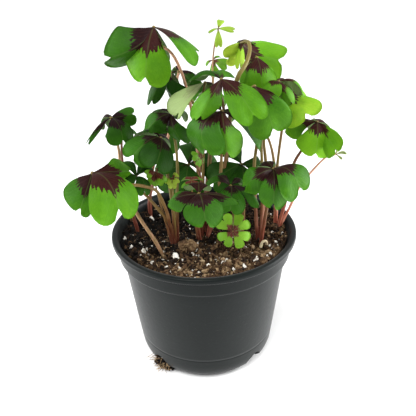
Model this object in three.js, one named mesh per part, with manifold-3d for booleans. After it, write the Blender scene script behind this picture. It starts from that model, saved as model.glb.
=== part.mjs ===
// A potted iron cross oxalis: a black plastic nursery pot, the potting mix in it, bulbs with their
// leaf stalks, and leaves of four heart-shaped leaflets that meet at a hub.
// Millimetres, +Z up, front towards -Y, origin at the centre of the pot's underside.
import * as THREE from 'three';
import { mergeVertices } from 'three/addons/utils/BufferGeometryUtils.js';
import Module from 'manifold-3d';

const wasm = await Module();
wasm.setup();

// Pot: driving sizes
const RIM_RADIUS = 57;
const POT_HEIGHT = 86;
const LIP_HEIGHT = 3.5;
const COLLAR_DROP = 13.5;
const COLLAR_RADIUS = 54.2;
const WALL_RADIUS_TOP = 51;
const WALL_RADIUS_LOW = 43;
const CORNER_HEIGHT = 8;
const FOOT_RADIUS = 37.5;
const WALL = 1.4;
const SECTORS = 30;
const SLOT_HALF_WIDTH = 7;
const SLOT_HEIGHT = 7;
const SLOT_ANGLES = [45, 135, 225, 315];
const NOTCH_RADIUS = 2;
const NOTCH_ANGLES = [0, 90, 180, 270];

// Potting mix: driving sizes
const GAP = 0.3;
const MIX_LEVEL = 82;
const MIX_RINGS = 5;
const LUMP_COUNT = 8;

// Leaves and stalks: driving sizes
const BLADE_HALF_THICKNESS = 0.34;
const HUB_RADIUS = 1.3;
const APEX_REACH = 0.5;
const STALK_SIDES = 5;
const STALK_STEPS = 4;
const STALK_FOOT_RADIUS = 1.2;
const STALK_TOP_RADIUS = 0.7;
const STALK_END = 1.9;
const CROWN_HEIGHT = 4;
const HOLE_SIDES = 8;
const HOLE_BOTTOM = 73;
const HOLE_TOP = 92;
const HOLE_FLARE = 4;

// Colours
const POT_COLOUR = 0x2f3633;
const MIX_COLOUR = 0x3b2a20;
const STALK_COLOUR = 0x9a6a4c;
const LEAF_GREEN = 0x4f9a24;
const SHADE_GREEN = 0x2f6a1e;
const YOUNG_GREEN = 0x93b52c;
const SHOOT_COLOUR = 0xcfc4a2;

const group = new THREE.Group();

function addMesh(name, geometry, color, roughness) {
  const material = new THREE.MeshStandardMaterial({ color, roughness, metalness: 0 });
  const mesh = new THREE.Mesh(geometry, material);
  mesh.name = name;
  group.add(mesh);
}

// Solids
function solidOf(geometry) {
  const plain = geometry.clone();
  plain.deleteAttribute('normal');
  plain.deleteAttribute('uv');
  const welded = mergeVertices(plain, 1e-4);
  return new wasm.Manifold(new wasm.Mesh({
    numProp: 3,
    vertProperties: welded.attributes.position.array,
    triVerts: new Uint32Array(welded.index.array),
  }));
}

function geometryOf(solid) {
  const mesh = solid.getMesh();
  const geometry = new THREE.BufferGeometry();
  geometry.setAttribute('position', new THREE.BufferAttribute(mesh.vertProperties, 3));
  geometry.setIndex(new THREE.BufferAttribute(mesh.triVerts, 1));
  geometry.computeVertexNormals();
  return geometry;
}

function closedGeometry(points, triangles) {
  const geometry = new THREE.BufferGeometry();
  geometry.setAttribute('position', new THREE.Float32BufferAttribute(points.flatMap((p) => p.toArray()), 3));
  geometry.setIndex(triangles);
  return geometry;
}

function joined(solids) {
  return solids.reduce((whole, solid) => whole.add(solid));
}

function largestBody(solid) {
  const bodies = solid.decompose();
  return bodies.reduce((best, body) => (body.volume() > best.volume() ? body : best));
}

function lump(radius, x, y, z, flatten = 1) {
  const geometry = new THREE.IcosahedronGeometry(radius, 0);
  geometry.scale(1, 1, flatten);
  geometry.translate(x, y, z);
  return solidOf(geometry);
}

// Seeded draws, the same on each run
function seededDraw(seed) {
  let state = seed;
  return () => {
    state = (state * 1664525 + 1013904223) % 4294967296;
    return state / 4294967296;
  };
}

// Pot
function potProfile() {
  const lipFoot = POT_HEIGHT - LIP_HEIGHT;
  const collarFoot = POT_HEIGHT - COLLAR_DROP;
  const outer = [
    [0, 0],
    [FOOT_RADIUS, 0],
    [WALL_RADIUS_LOW - 1.8, CORNER_HEIGHT * 0.4],
    [WALL_RADIUS_LOW, CORNER_HEIGHT],
    [WALL_RADIUS_TOP, collarFoot - 0.6],
    [COLLAR_RADIUS - 0.9, collarFoot],
    [COLLAR_RADIUS, lipFoot - 0.6],
    [RIM_RADIUS, lipFoot],
    [RIM_RADIUS, POT_HEIGHT - 0.9],
    [RIM_RADIUS - 0.9, POT_HEIGHT],
  ];
  const inner = [
    [COLLAR_RADIUS - WALL + 0.6, POT_HEIGHT - 0.2],
    [COLLAR_RADIUS - WALL, lipFoot],
    [WALL_RADIUS_TOP - WALL, collarFoot - 2],
    [WALL_RADIUS_LOW - WALL, CORNER_HEIGHT + 1],
    [FOOT_RADIUS, WALL + 0.4],
    [0, WALL + 0.4],
  ];
  return [...outer, ...inner].map(([r, z]) => new THREE.Vector2(r, z));
}

function aroundAxis(geometry, degrees) {
  geometry.rotateZ(THREE.MathUtils.degToRad(degrees));
  return solidOf(geometry);
}

function makePot() {
  const body = new THREE.LatheGeometry(potProfile(), SECTORS);
  body.rotateX(Math.PI / 2);
  let pot = solidOf(body);
  for (const angle of SLOT_ANGLES) {
    const slot = new THREE.CylinderGeometry(SLOT_HALF_WIDTH, SLOT_HALF_WIDTH, 16, 12);
    slot.rotateZ(Math.PI / 2);
    slot.scale(1, 1, SLOT_HEIGHT / SLOT_HALF_WIDTH);
    slot.translate(WALL_RADIUS_LOW - 1.5, 0, 0);
    pot = pot.subtract(aroundAxis(slot, angle));
  }
  for (const angle of NOTCH_ANGLES) {
    const notch = new THREE.CylinderGeometry(NOTCH_RADIUS, NOTCH_RADIUS, 7, 6);
    notch.rotateZ(Math.PI / 2);
    notch.translate(FOOT_RADIUS + 2, 0, 0);
    pot = pot.subtract(aroundAxis(notch, angle));
  }
  addMesh('pot', geometryOf(pot), POT_COLOUR, 0.45);
}

// Half of the blade's outline, as shares of the leaflet's length: along the rib, across it
const HALF_OUTLINE = [
  [0.42, 0.28],
  [0.74, 0.46],
  [1, 0.44],
  [1.1, 0.22],
];
const YOUNG_HALF_OUTLINE = [
  [0.6, 0.44],
  [1.08, 0.3],
];

// Rows of points from the hub out: share of the way to the edge, and number of points
const LARGE_ROWS = [[0.52, 5], [1, 9]];
const SMALL_ROWS = [[0.52, 3], [1, 5]];
const YOUNG_ROWS = [[1, 5]];

function fullOutline(half, notch) {
  const left = half.map(([along, across]) => [along, -across]);
  const right = half.map(([along, across]) => [along, across]).reverse();
  return [...left, [notch, 0], ...right];
}

const vector = (xyz) => new THREE.Vector3(...xyz);

// The leaf's axis stands square to the fan of its leaflets and points up
function leafAxis(leaf) {
  if (leaf.axis) {
    return vector(leaf.axis).normalize();
  }
  const tips = leaf.leaflets.map((row) => vector(row.slice(0, 3)));
  const axis = new THREE.Vector3();
  tips.forEach((tip, i) => axis.add(tip.clone().cross(tips[(i + 1) % tips.length])));
  axis.normalize();
  return axis.z < 0 ? axis.negate() : axis;
}

// A point of a leaflet: the rib arches from the hub to the notch, both halves fall away from it
function leafletPoint(along, across, leaflet) {
  const { hub, rib, face, side, length, width, fold, rise } = leaflet;
  const slope = (4 * rise * (1 - 2 * along)) / length;
  const up = face.clone().addScaledVector(rib, -slope).normalize();
  const reach = across * width * length;
  const soft = 0.06 * length;
  const crease = Math.sin(fold) * (Math.hypot(reach, soft) - soft);
  const fall = crease + (0.25 * reach * reach) / length;
  return hub.clone()
    .addScaledVector(rib, length * along)
    .addScaledVector(face, 4 * rise * along * (1 - along))
    .addScaledVector(side, reach * Math.cos(fold))
    .addScaledVector(up, -fall);
}

function leafletFrame(hub, axis, row) {
  const [dx, dy, dz, widthPercent, foldDegrees, rollDegrees, rise] = row;
  const rib = new THREE.Vector3(dx, dy, dz);
  const length = rib.length();
  rib.normalize();
  const face = axis.clone().addScaledVector(rib, -axis.dot(rib)).normalize();
  const side = face.clone().cross(rib);
  const roll = THREE.MathUtils.degToRad(rollDegrees);
  const rolledFace = face.clone().multiplyScalar(Math.cos(roll)).addScaledVector(side, Math.sin(roll));
  const rolledSide = side.clone().multiplyScalar(Math.cos(roll)).addScaledVector(face, -Math.sin(roll));
  return {
    hub,
    rib,
    face: rolledFace,
    side: rolledSide,
    length,
    width: widthPercent / 100,
    fold: THREE.MathUtils.degToRad(foldDegrees),
    rise,
  };
}

// Triangles that fill the strip between two rows with different numbers of points
function stripTriangles(inner, outer) {
  const triangles = [];
  let i = 0;
  let j = 0;
  while (i < inner.length - 1 || j < outer.length - 1) {
    const nextInner = (i + 1) / (inner.length - 1 || 1);
    const nextOuter = (j + 1) / (outer.length - 1);
    if (j < outer.length - 1 && (i === inner.length - 1 || nextOuter <= nextInner + 1e-9)) {
      triangles.push([inner[i], outer[j], outer[j + 1]]);
      j += 1;
    } else {
      triangles.push([inner[i], outer[j], inner[i + 1]]);
      i += 1;
    }
  }
  return triangles;
}

function leafletSolid(leaflet, outline, rowPlan) {
  const middle = [leafletPoint(APEX_REACH / leaflet.length, 0, leaflet)];
  const rows = [[0]];
  for (const [share, count] of rowPlan) {
    const row = [];
    for (let k = 0; k < count; k += 1) {
      const [along, across] = outline[(k * (outline.length - 1)) / (count - 1)];
      row.push(middle.length);
      middle.push(leafletPoint(along * share, across * share, leaflet));
    }
    rows.push(row);
  }
  const sheet = rows.slice(1).flatMap((row, i) => stripTriangles(rows[i], row));
  const normals = middle.map(() => new THREE.Vector3());
  for (const [a, b, c] of sheet) {
    const normal = middle[b].clone().sub(middle[a]).cross(middle[c].clone().sub(middle[a])).normalize();
    [a, b, c].forEach((k) => normals[k].add(normal));
  }
  normals.forEach((normal) => normal.setLength(BLADE_HALF_THICKNESS));
  const upper = middle.map((point, k) => point.clone().add(normals[k]));
  const lower = middle.map((point, k) => point.clone().sub(normals[k]));
  const below = (k) => k + middle.length;
  const leftEdge = rows.slice(0, -1).map((row) => row[0]);
  const rightEdge = rows.slice(1, -1).map((row) => row[row.length - 1]).reverse();
  const edge = [...leftEdge, ...rows[rows.length - 1], ...rightEdge];
  const triangles = sheet.flatMap(([a, b, c]) => [a, b, c, below(a), below(c), below(b)]);
  edge.forEach((from, k) => {
    const to = edge[(k + 1) % edge.length];
    triangles.push(to, from, below(from));
    triangles.push(to, below(from), below(to));
  });
  return solidOf(closedGeometry([...upper, ...lower], triangles));
}

function bladeSolid(leaf) {
  const hub = vector(leaf.hub);
  const axis = leafAxis(leaf);
  const scale = leaf.young ? 0.6 : 1;
  const boss = lump(HUB_RADIUS * scale, ...leaf.hub);
  const half = leaf.young ? YOUNG_HALF_OUTLINE : HALF_OUTLINE;
  const outline = fullOutline(half, leaf.deepNotch ? 0.8 : 1);
  const olderRows = leaf.shade || leaf.back ? SMALL_ROWS : LARGE_ROWS;
  const rowPlan = leaf.young ? YOUNG_ROWS : olderRows;
  const blades = leaf.leaflets.map((row) => leafletSolid(leafletFrame(hub, axis, row), outline, rowPlan));
  return largestBody(joined([boss, ...blades]));
}

// A stalk: a tapering tube along a curve from the bulb to just short of the hub
function tubeSolid(pathPoints, footRadius, topRadius) {
  const curve = new THREE.CatmullRomCurve3(pathPoints, false, 'centripetal');
  const steps = pathPoints.length > 2 ? Math.max(STALK_STEPS, pathPoints.length) : 1;
  const frames = curve.computeFrenetFrames(steps, false);
  const points = [];
  const triangles = [];
  for (let i = 0; i <= steps; i += 1) {
    const centre = curve.getPointAt(i / steps);
    const radius = THREE.MathUtils.lerp(footRadius, topRadius, i / steps);
    for (let k = 0; k < STALK_SIDES; k += 1) {
      const turn = (2 * Math.PI * k) / STALK_SIDES;
      points.push(centre.clone()
        .addScaledVector(frames.normals[i], radius * Math.cos(turn))
        .addScaledVector(frames.binormals[i], radius * Math.sin(turn)));
    }
  }
  const ring = (i, k) => i * STALK_SIDES + (k % STALK_SIDES);
  for (let i = 0; i < steps; i += 1) {
    for (let k = 0; k < STALK_SIDES; k += 1) {
      triangles.push(ring(i, k), ring(i, k + 1), ring(i + 1, k + 1));
      triangles.push(ring(i, k), ring(i + 1, k + 1), ring(i + 1, k));
    }
  }
  for (let k = 1; k < STALK_SIDES - 1; k += 1) {
    triangles.push(ring(0, 0), ring(0, k + 1), ring(0, k));
    triangles.push(ring(steps, 0), ring(steps, k), ring(steps, k + 1));
  }
  return solidOf(closedGeometry(points, triangles));
}

// Stalks stand apart in their clump, each on the side it leans to
function stalkPath(leaf, clump) {
  const aside = new THREE.Vector3(leaf.stalk[0][0] - clump.at[0], leaf.stalk[0][1] - clump.at[1], 0);
  aside.setLength(clump.spread * Math.min(1, aside.length() / 10));
  const x = clump.at[0] + aside.x;
  const y = clump.at[1] + aside.y;
  const foot = new THREE.Vector3(x, y, HOLE_BOTTOM + CROWN_HEIGHT / 2);
  const mouth = new THREE.Vector3(x, y, MIX_LEVEL - 3);
  const path = [foot, mouth, ...leaf.stalk.map(vector)];
  const hub = vector(leaf.hub);
  const end = leaf.young ? STALK_END * 0.6 : STALK_END;
  if (leaf.hook) {
    const toStalk = path[path.length - 1].clone().sub(hub).normalize();
    path.push(hub.clone().addScaledVector(toStalk, end));
    return path;
  }
  const axis = leafAxis(leaf);
  path.push(hub.clone().addScaledVector(axis, leaf.young ? -4 : -8));
  path.push(hub.clone().addScaledVector(axis, -end));
  return path;
}

function crownRadius(clump) {
  return clump.spread + STALK_FOOT_RADIUS + GAP;
}

function roundPiece(topRadius, footRadius, bottom, top, at) {
  const geometry = new THREE.CylinderGeometry(topRadius, footRadius, top - bottom, HOLE_SIDES);
  geometry.rotateX(Math.PI / 2);
  geometry.translate(at[0], at[1], (top + bottom) / 2);
  return solidOf(geometry);
}

// A clump: its stalks, held together below the surface by a flat crown
function clumpSolid(clump) {
  const radius = crownRadius(clump);
  const bottom = HOLE_BOTTOM + GAP;
  const parts = [roundPiece(radius * 0.8, radius, bottom, bottom + CROWN_HEIGHT, clump.at)];
  for (const leaf of clump.leaves) {
    const slim = leaf.young ? 0.6 : 1;
    parts.push(tubeSolid(stalkPath(leaf, clump), STALK_FOOT_RADIUS * slim, STALK_TOP_RADIUS * slim));
  }
  return joined(parts);
}

// The plain hole a clump stands in, a little wider at the surface
function clumpHole(clump) {
  const radius = crownRadius(clump) + GAP;
  return roundPiece(radius + HOLE_FLARE, radius, HOLE_BOTTOM, HOLE_TOP, clump.at);
}

// Leaves: hub in millimetres, then for each leaflet the notch's place from the hub (x, y, z),
// width percent, fold degrees, roll degrees and arch of the rib in millimetres.
const topLeft = {
  hub: [-23, 0, 208], axis: [0, -0.25, 1], stalk: [[-2, -3, 103], [-2, 2, 133], [-8, 8, 175], [-15, 3, 194]],
  leaflets: [[-25, 7, -17, 105, 20, 22, 8], [-5, -23, -20, 95, 15, -12, 4],
    [22, -13, -12, 70, 20, 5, 2], [-3, 16, -23, 70, 30, 0, 4]],
};
const behindTopLeft = {
  hub: [-16, 10, 181], stalk: [[-3, 0, 119], [0, 4, 152], [-7, 6, 169]], shade: true,
  leaflets: [[-8, -21, -9, 45, 30, 0, 4], [2, -22, -8, 45, 20, 0, 4],
    [2, 8, -16, 50, 30, 0, 3], [-18, 4, -14, 50, 30, 0, 4]],
};
const foldedLeft = {
  hub: [-12, 25, 177], back: true, stalk: [[-35, 27, 92], [-22, 32, 130], [-13, 32, 160]],
  leaflets: [[14, -15, -5, 60, 50, 0, 4], [7, 10, -11, 60, 50, 0, 4],
    [-3, 13, -5, 50, 40, 0, 4], [-12, 6, -7, 50, 40, 0, 2]],
};
const turnedOver = {
  hub: [3, -8, 180], axis: [0.2, 0, 1], stalk: [[0, -3, 107], [1, -3, 139], [2, -6, 168]],
  leaflets: [[-17, -17, -5, 80, 20, 118, 4], [5, 11, -13, 60, 30, 0, 4]],
};
const upperCentre = {
  hub: [11, -26, 187], stalk: [[11, -4, 117], [14, -8, 141], [12, -16, 172]],
  leaflets: [[-9, -23, -11, 85, 15, 0, 4], [14, -20, -11, 85, 15, 0, 4],
    [2, 21, -6, 50, 15, 0, 4], [-14, 17, -4, 60, 20, 0, 4]],
};
const topRight = {
  hub: [24, 18, 194], hook: true,
  stalk: [[13, 0, 118], [15, -3, 145], [19, -15, 181], [21, -16, 187], [24, -13, 193], [27, -4, 200],
    [27, 9, 201]],
  leaflets: [[-9, -16, -7, 80, 25, 0, 4], [-2, -18, -7, 50, 60, 0, 4],
    [21, -5, -9, 105, 5, -36, 4], [6, 15, -8, 80, 20, 0, 4]],
};
const underTopRight = {
  hub: [31, -2, 191], stalk: [[30, -8, 131], [32, -2, 144], [31, 6, 171]],
  leaflets: [[-4, -10, -15, 85, 25, 0, 4], [7, -3, -13, 45, 30, 0, 3],
    [8, 5, -14, 40, 30, 0, 2], [-9, 2, -15, 45, 30, 0, 3]],
};
const rightUpper = {
  hub: [42, -10, 180], stalk: [[37, -5, 129], [36, -1, 144], [39, -2, 164]],
  leaflets: [[-6, -8, -3, 90, 15, 0, 2], [7, -15, -5, 60, 35, 0, 4],
    [14, 6, -8, 60, 30, 0, 4], [6, 16, -10, 60, 30, 0, 4]],
};
const rightBroad = {
  hub: [28, -23, 182], axis: [0.4, -0.8, 0.6], stalk: [[35, -10, 109], [34, -6, 141], [31, -11, 165]],
  leaflets: [[10, -17, -17, 80, 12, 0, 4], [3, 6, -13, 45, 20, 0, 0], [-8, -3, -8, 60, 20, 0, 2]],
};
const rightLime = {
  hub: [48, 12, 163], stalk: [[45, 5, 122], [48, 10, 148]], lime: true,
  leaflets: [[10, -22, -2, 100, 10, -20, 4], [17, 16, -5, 90, 10, -50, 4],
    [-2, 17, -6, 80, 20, 0, 4], [-3, -23, -4, 40, 20, 0, 4]],
};
const farRight = {
  hub: [66, 0, 153], stalk: [[50, 2, 99], [54, -2, 129], [58, -1, 136]],
  leaflets: [[-18, -12, -1, 80, 10, 0, 4], [-9, -20, -9, 90, 10, 0, 4],
    [6, -22, -8, 85, 10, 0, 4], [6, 15, -12, 80, 20, 0, 4]],
};
const lowerRight = {
  hub: [37, -38, 142], stalk: [[36, -22, 109], [37, -30, 126]],
  leaflets: [[-14, -12, -5, 80, 25, 0, 4], [-1, -16, -12, 85, 12, 0, 4],
    [13, -13, -4, 90, 15, 0, 4], [-4, 14, -6, 80, 15, 0, 4]],
};
const farLeft = {
  hub: [-57, -38, 143],
  stalk: [[-20, -12, 92], [-21, -16, 105], [-24, -20, 118], [-26, -23, 124], [-31, -26, 128],
    [-40, -31, 132], [-49, -35, 133]],
  leaflets: [[-12, -12, -16, 62, 20, 0, 4], [3, -21, -18, 66, 15, 0, 4],
    [22, -15, -11, 76, 12, 0, 4], [16, 17, -5, 80, 15, 0, 4]],
};
const leftUpper = {
  hub: [-51, 5, 157], stalk: [[-28, -21, 88], [-39, -14, 105], [-47, -5, 122], [-48, 2, 138]],
  leaflets: [[-9, -20, -5, 40, 60, 0, 4], [7, -19, -7, 95, 15, 0, 4],
    [11, 13, -2, 90, 5, -35, 4], [-6, 14, -9, 60, 40, 0, 4]],
};
const centreLeft = {
  hub: [-16, -5, 162], stalk: [[-15, -9, 115], [-14, -9, 132], [-15, -6, 148]],
  leaflets: [[-12, -17, -2, 75, 15, 0, 4], [5, -18, -9, 80, 15, 0, 4],
    [5, 17, -8, 50, 15, 0, 4], [-10, 16, -8, 50, 15, 0, 4]],
};
const centre = {
  hub: [11, -28, 171], stalk: [[10, -10, 123], [11, -16, 144]],
  leaflets: [[-12, -20, -9, 100, 12, 0, 4], [2, -22, -12, 95, 12, 0, 4],
    [12, 12, -10, 80, 15, 0, 4], [-11, 16, -6, 80, 15, 0, 4]],
};
const lowerFront = {
  hub: [-2, -48, 134], stalk: [[-3, -12, 88], [-4, -30, 111]],
  leaflets: [[-14, -11, 1, 90, 10, 0, 4], [3, -20, -7, 105, 10, 0, 4],
    [15, -12, -2, 90, 10, 0, 4], [-1, 16, -4, 90, 10, 0, 4]],
};
const besideLowerFront = {
  hub: [15, -34, 131], stalk: [[23, -20, 104], [21, -28, 119]],
  leaflets: [[-11, 7, 1, 90, 10, 0, 4], [-1, -16, -6, 90, 10, 0, 4],
    [14, -9, -6, 50, 50, 0, 4], [7, 6, -2, 80, 20, 0, 4]],
};
const leftMiddle = {
  hub: [-22, -15, 152], stalk: [[-18, -12, 109], [-20, -13, 132], [-22, -15, 146]],
  leaflets: [[-14, -17, -3, 90, 15, 0, 4], [-2, -21, -7, 90, 15, 0, 4],
    [-2, 18, -12, 60, 15, 0, 4], [-13, 14, -4, 60, 25, 0, 4]],
};
const leftShade = {
  hub: [-37, -17, 130], stalk: [[-20, -13, 96], [-26, -17, 109], [-33, -19, 120]], shade: true,
  leaflets: [[-8, 7, 6, 75, 15, 0, 4], [5, -10, -5, 75, 15, 0, 4],
    [6, 12, 2, 75, 15, 0, 4], [-7, -10, 0, 75, 15, 0, 4]],
};
const innerShade = {
  hub: [-8, 6, 126], stalk: [[-4, 0, 100], [-7, 5, 114]], shade: true,
  leaflets: [[-9, 2, -3, 75, 12, 0, 4], [-1, -9, -4, 60, 12, 0, 4],
    [7, 5, -4, 60, 12, 0, 4], [0, 11, -3, 70, 12, 0, 4]],
};
const innerRightShade = {
  hub: [23, -2, 129], stalk: [[18, -6, 106]], shade: true,
  leaflets: [[-7, -9, -2, 55, 12, 0, 4], [2, -11, -5, 50, 12, 0, 4],
    [7, 9, -4, 55, 12, 0, 4], [-5, 11, -3, 65, 12, 0, 4]],
};
const leftBack = {
  hub: [-48, 16, 146], stalk: [[-47, 10, 105], [-48, 12, 130]], shade: true,
  leaflets: [[-9, 3, -4, 80, 15, 0, 2], [-2, -8, -4, 80, 15, 0, 2],
    [9, 3, -4, 80, 15, 0, 2], [1, 10, -4, 80, 15, 0, 2]],
};

const backLeft = {
  hub: [-24, 46, 136], back: true, stalk: [[-34, 30, 100], [-29, 40, 120]],
  leaflets: [[-15, -3, -6, 75, 15, 0, 4], [-1, -12, -5, 60, 20, 0, 3],
    [15, 3, -7, 80, 15, 0, 4], [-2, 16, -8, 85, 15, 0, 4]],
};
const backMiddle = {
  hub: [8, 40, 162], back: true, stalk: [[2, 8, 105], [5, 24, 140]],
  leaflets: [[-16, -4, -6, 75, 15, 0, 4], [4, -14, -6, 60, 20, 0, 3],
    [17, 6, -7, 80, 15, 0, 4], [-5, 18, -8, 85, 15, 0, 4]],
};
const backRight = {
  hub: [34, 40, 146], back: true, stalk: [[46, 12, 105], [42, 28, 132]],
  leaflets: [[-16, 2, -6, 70, 15, 0, 4], [2, -15, -6, 70, 20, 0, 3],
    [17, 3, -7, 80, 15, 0, 4], [-1, 18, -8, 85, 15, 0, 4]],
};

// Young leaves: small and pale, on thin stalks
const redEyeLeft = {
  hub: [-26, -18, 133], young: true, stalk: [[-25, -16, 114]],
  leaflets: [[-5, -3, 0, 100, 12, 0, 1], [-2, -4, -6, 100, 12, 0, 1],
    [5, -4, -5, 90, 12, 0, 1], [2, 5, -1, 90, 12, 0, 1]],
};
const paleBud = {
  hub: [-17, -16, 128], young: true, stalk: [[-17, -14, 113]],
  leaflets: [[-3, -3, -2, 90, 12, 0, 1], [0, -3, -5, 90, 12, 0, 1],
    [3, -3, -2, 90, 12, 0, 1], [3, 3, 1, 90, 12, 0, 1]],
};
const redEyeRight = {
  hub: [-6, -20, 128], young: true, stalk: [[-6, -12, 105]],
  leaflets: [[-4, -5, -2, 100, 12, 0, 1], [4, -5, -2, 100, 12, 0, 1],
    [4, 6, -1, 100, 12, 0, 1], [-4, 6, -1, 100, 12, 0, 1]],
};
const hangingBud = {
  hub: [-1, -14, 140], young: true, stalk: [[-3, -8, 103], [-1, -12, 127]],
  leaflets: [[-4, -4, 2, 100, 12, 0, 1], [-1, -4, -4, 100, 12, 0, 1],
    [2, 3, -5, 40, 12, 0, 1], [1, 6, 0, 40, 12, 0, 1]],
};
const topSprig = {
  hub: [11, 10, 204], axis: [0, -0.7, 0.7], young: true,
  stalk: [[4, 2, 130], [7, 8, 165], [8, 14, 187], [10, 13, 199]],
  leaflets: [[2, 8, 3, 60, 12, 0, 1], [8, -4, 0, 50, 12, 0, 1],
    [-5, -3, -1, 30, 12, 0, 1], [0, -5, -8, 60, 12, 0, 1]],
};
const lowSprig = {
  hub: [8, 18, 185], young: true, stalk: [[7, 5, 150], [8, 16, 173]],
  leaflets: [[8, -4, -2, 80, 12, 0, 1], [1, -4, -8, 70, 12, 0, 1],
    [-4, 2, -3, 50, 12, 0, 1], [4, 4, 1, 50, 12, 0, 1]],
};
const rightTip = {
  hub: [80, 5, 130], young: true, stalk: [[54, 4, 97], [58, 4, 108], [65, 4, 119], [76, 5, 130]],
  hook: true,
  leaflets: [[5, -2, 2, 50, 12, 0, 1], [3, 4, 3, 60, 12, 0, 1],
    [3, -2, -2, 40, 12, 0, 1], [-3, 2, 3, 40, 12, 0, 1]],
};
const frontClover = {
  hub: [16, -36, 104], axis: [0, -0.85, 0.5], young: true, deepNotch: true,
  stalk: [[17, -27, 96]],
  leaflets: [[-6, 4, 6, 125, 12, 0, 1], [7, 3, 6, 125, 12, 0, 1],
    [7, -3, -6, 125, 12, 0, 1], [-6, -2, -6, 125, 12, 0, 1]],
};

// Clumps: each bulb with the stalks that rise from it
const CLUMPS = [
  { name: 'stalks_left', at: [-17, -10], spread: 3,
    leaves: [centreLeft, leftMiddle, farLeft, leftShade, redEyeLeft, paleBud] },
  { name: 'stalks_centre', at: [-2, -4], spread: 4,
    leaves: [topLeft, behindTopLeft, turnedOver, upperCentre, topRight, centre, lowerFront, innerShade,
      redEyeRight, hangingBud, topSprig, lowSprig, backMiddle] },
  { name: 'stalks_right', at: [33, -14], spread: 2,
    leaves: [underTopRight, rightUpper, rightBroad, lowerRight] },
  { name: 'stalks_far_right', at: [45, 4], spread: 2,
    leaves: [rightLime, farRight, rightTip, backRight] },
  { name: 'stalks_far_left', at: [-42, 10], spread: 1, leaves: [leftBack] },
  { name: 'stalks_back_left', at: [-35, 26], spread: 1, leaves: [foldedLeft, backLeft] },
  { name: 'stalks_front_left', at: [-24, -23], spread: 1, leaves: [leftUpper] },
  { name: 'stalks_front_right', at: [20, -20], spread: 2,
    leaves: [besideLowerFront, innerRightShade, frontClover] },
];

const LEAVES = {
  leaf_top_left: topLeft,
  leaf_behind_top_left: behindTopLeft,
  leaf_folded_left: foldedLeft,
  leaf_turned_over: turnedOver,
  leaf_upper_centre: upperCentre,
  leaf_top_right: topRight,
  leaf_under_top_right: underTopRight,
  leaf_right_upper: rightUpper,
  leaf_right_broad: rightBroad,
  leaf_right_lime: rightLime,
  leaf_far_right: farRight,
  leaf_lower_right: lowerRight,
  leaf_far_left: farLeft,
  leaf_left_upper: leftUpper,
  leaf_centre_left: centreLeft,
  leaf_centre: centre,
  leaf_lower_front: lowerFront,
  leaf_beside_lower_front: besideLowerFront,
  leaf_left_middle: leftMiddle,
  leaf_left_shade: leftShade,
  leaf_inner_shade: innerShade,
  leaf_inner_right_shade: innerRightShade,
  leaf_left_back: leftBack,
  leaf_back_left: backLeft,
  leaf_back_middle: backMiddle,
  leaf_back_right: backRight,
  young_red_eye_left: redEyeLeft,
  young_pale_bud: paleBud,
  young_red_eye_right: redEyeRight,
  young_hanging_bud: hangingBud,
  young_top_sprig: topSprig,
  young_low_sprig: lowSprig,
  young_right_tip: rightTip,
  young_front_clover: frontClover,
};

function leafColour(leaf) {
  if (leaf.young || leaf.lime) {
    return YOUNG_GREEN;
  }
  return leaf.shade ? SHADE_GREEN : LEAF_GREEN;
}

// A pale hooked shoot just out of the mix
const SHOOT_PATH = [[37, -21, 78], [37, -21, 84], [36, -22, 88], [34, -23, 88], [33, -24, 85]]
  .map(vector);

// Potting mix: a plug that fills the pot, uneven on top
function mixHeight(x, y) {
  const hollow = (cx, cy, reach, depth) => depth * Math.exp(-((x - cx) ** 2 + (y - cy) ** 2) / reach ** 2);
  const waves = 0.9 * Math.sin(x * 0.31 + 1) * Math.cos(y * 0.27) + 0.7 * Math.sin(x * 0.17 - y * 0.23 + 2);
  return MIX_LEVEL + 0.02 * x - 0.01 * y + waves - hollow(-30, 12, 15, 5) - hollow(22, 6, 10, 4) + hollow(-8, -20, 6, 2);
}

function mixPlug() {
  const collarFoot = POT_HEIGHT - COLLAR_DROP;
  const side = [
    [FOOT_RADIUS - GAP * 2, WALL + 0.4 + GAP],
    [WALL_RADIUS_LOW - WALL - GAP * 1.5, CORNER_HEIGHT + 1 + GAP],
    [WALL_RADIUS_TOP - WALL - GAP * 1.5, collarFoot - 2 + GAP],
  ];
  const edgeRadius = COLLAR_RADIUS - WALL - GAP * 4;
  const points = [new THREE.Vector3(0, 0, WALL + 0.4 + GAP)];
  const triangles = [];
  const at = (radius, k, z) => {
    const turn = (2 * Math.PI * k) / SECTORS;
    return new THREE.Vector3(radius * Math.cos(turn), radius * Math.sin(turn), z);
  };
  const rings = side.map(([radius, z]) => (k) => at(radius, k, z));
  for (let i = MIX_RINGS; i > 0; i -= 1) {
    const radius = (edgeRadius * i) / MIX_RINGS;
    rings.push((k) => {
      const point = at(radius, k, 0);
      point.z = mixHeight(point.x, point.y) + (i === MIX_RINGS ? -0.6 : 0);
      return point;
    });
  }
  for (const ring of rings) {
    for (let k = 0; k < SECTORS; k += 1) {
      points.push(ring(k));
    }
  }
  points.push(new THREE.Vector3(0, 0, mixHeight(0, 0)));
  const top = points.length - 1;
  const ring = (i, k) => 1 + i * SECTORS + (k % SECTORS);
  for (let k = 0; k < SECTORS; k += 1) {
    triangles.push(0, ring(0, k + 1), ring(0, k));
    for (let i = 0; i < rings.length - 1; i += 1) {
      triangles.push(ring(i, k), ring(i, k + 1), ring(i + 1, k + 1));
      triangles.push(ring(i, k), ring(i + 1, k + 1), ring(i + 1, k));
    }
    triangles.push(ring(rings.length - 1, k), ring(rings.length - 1, k + 1), top);
  }
  return solidOf(closedGeometry(points, triangles));
}

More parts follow.
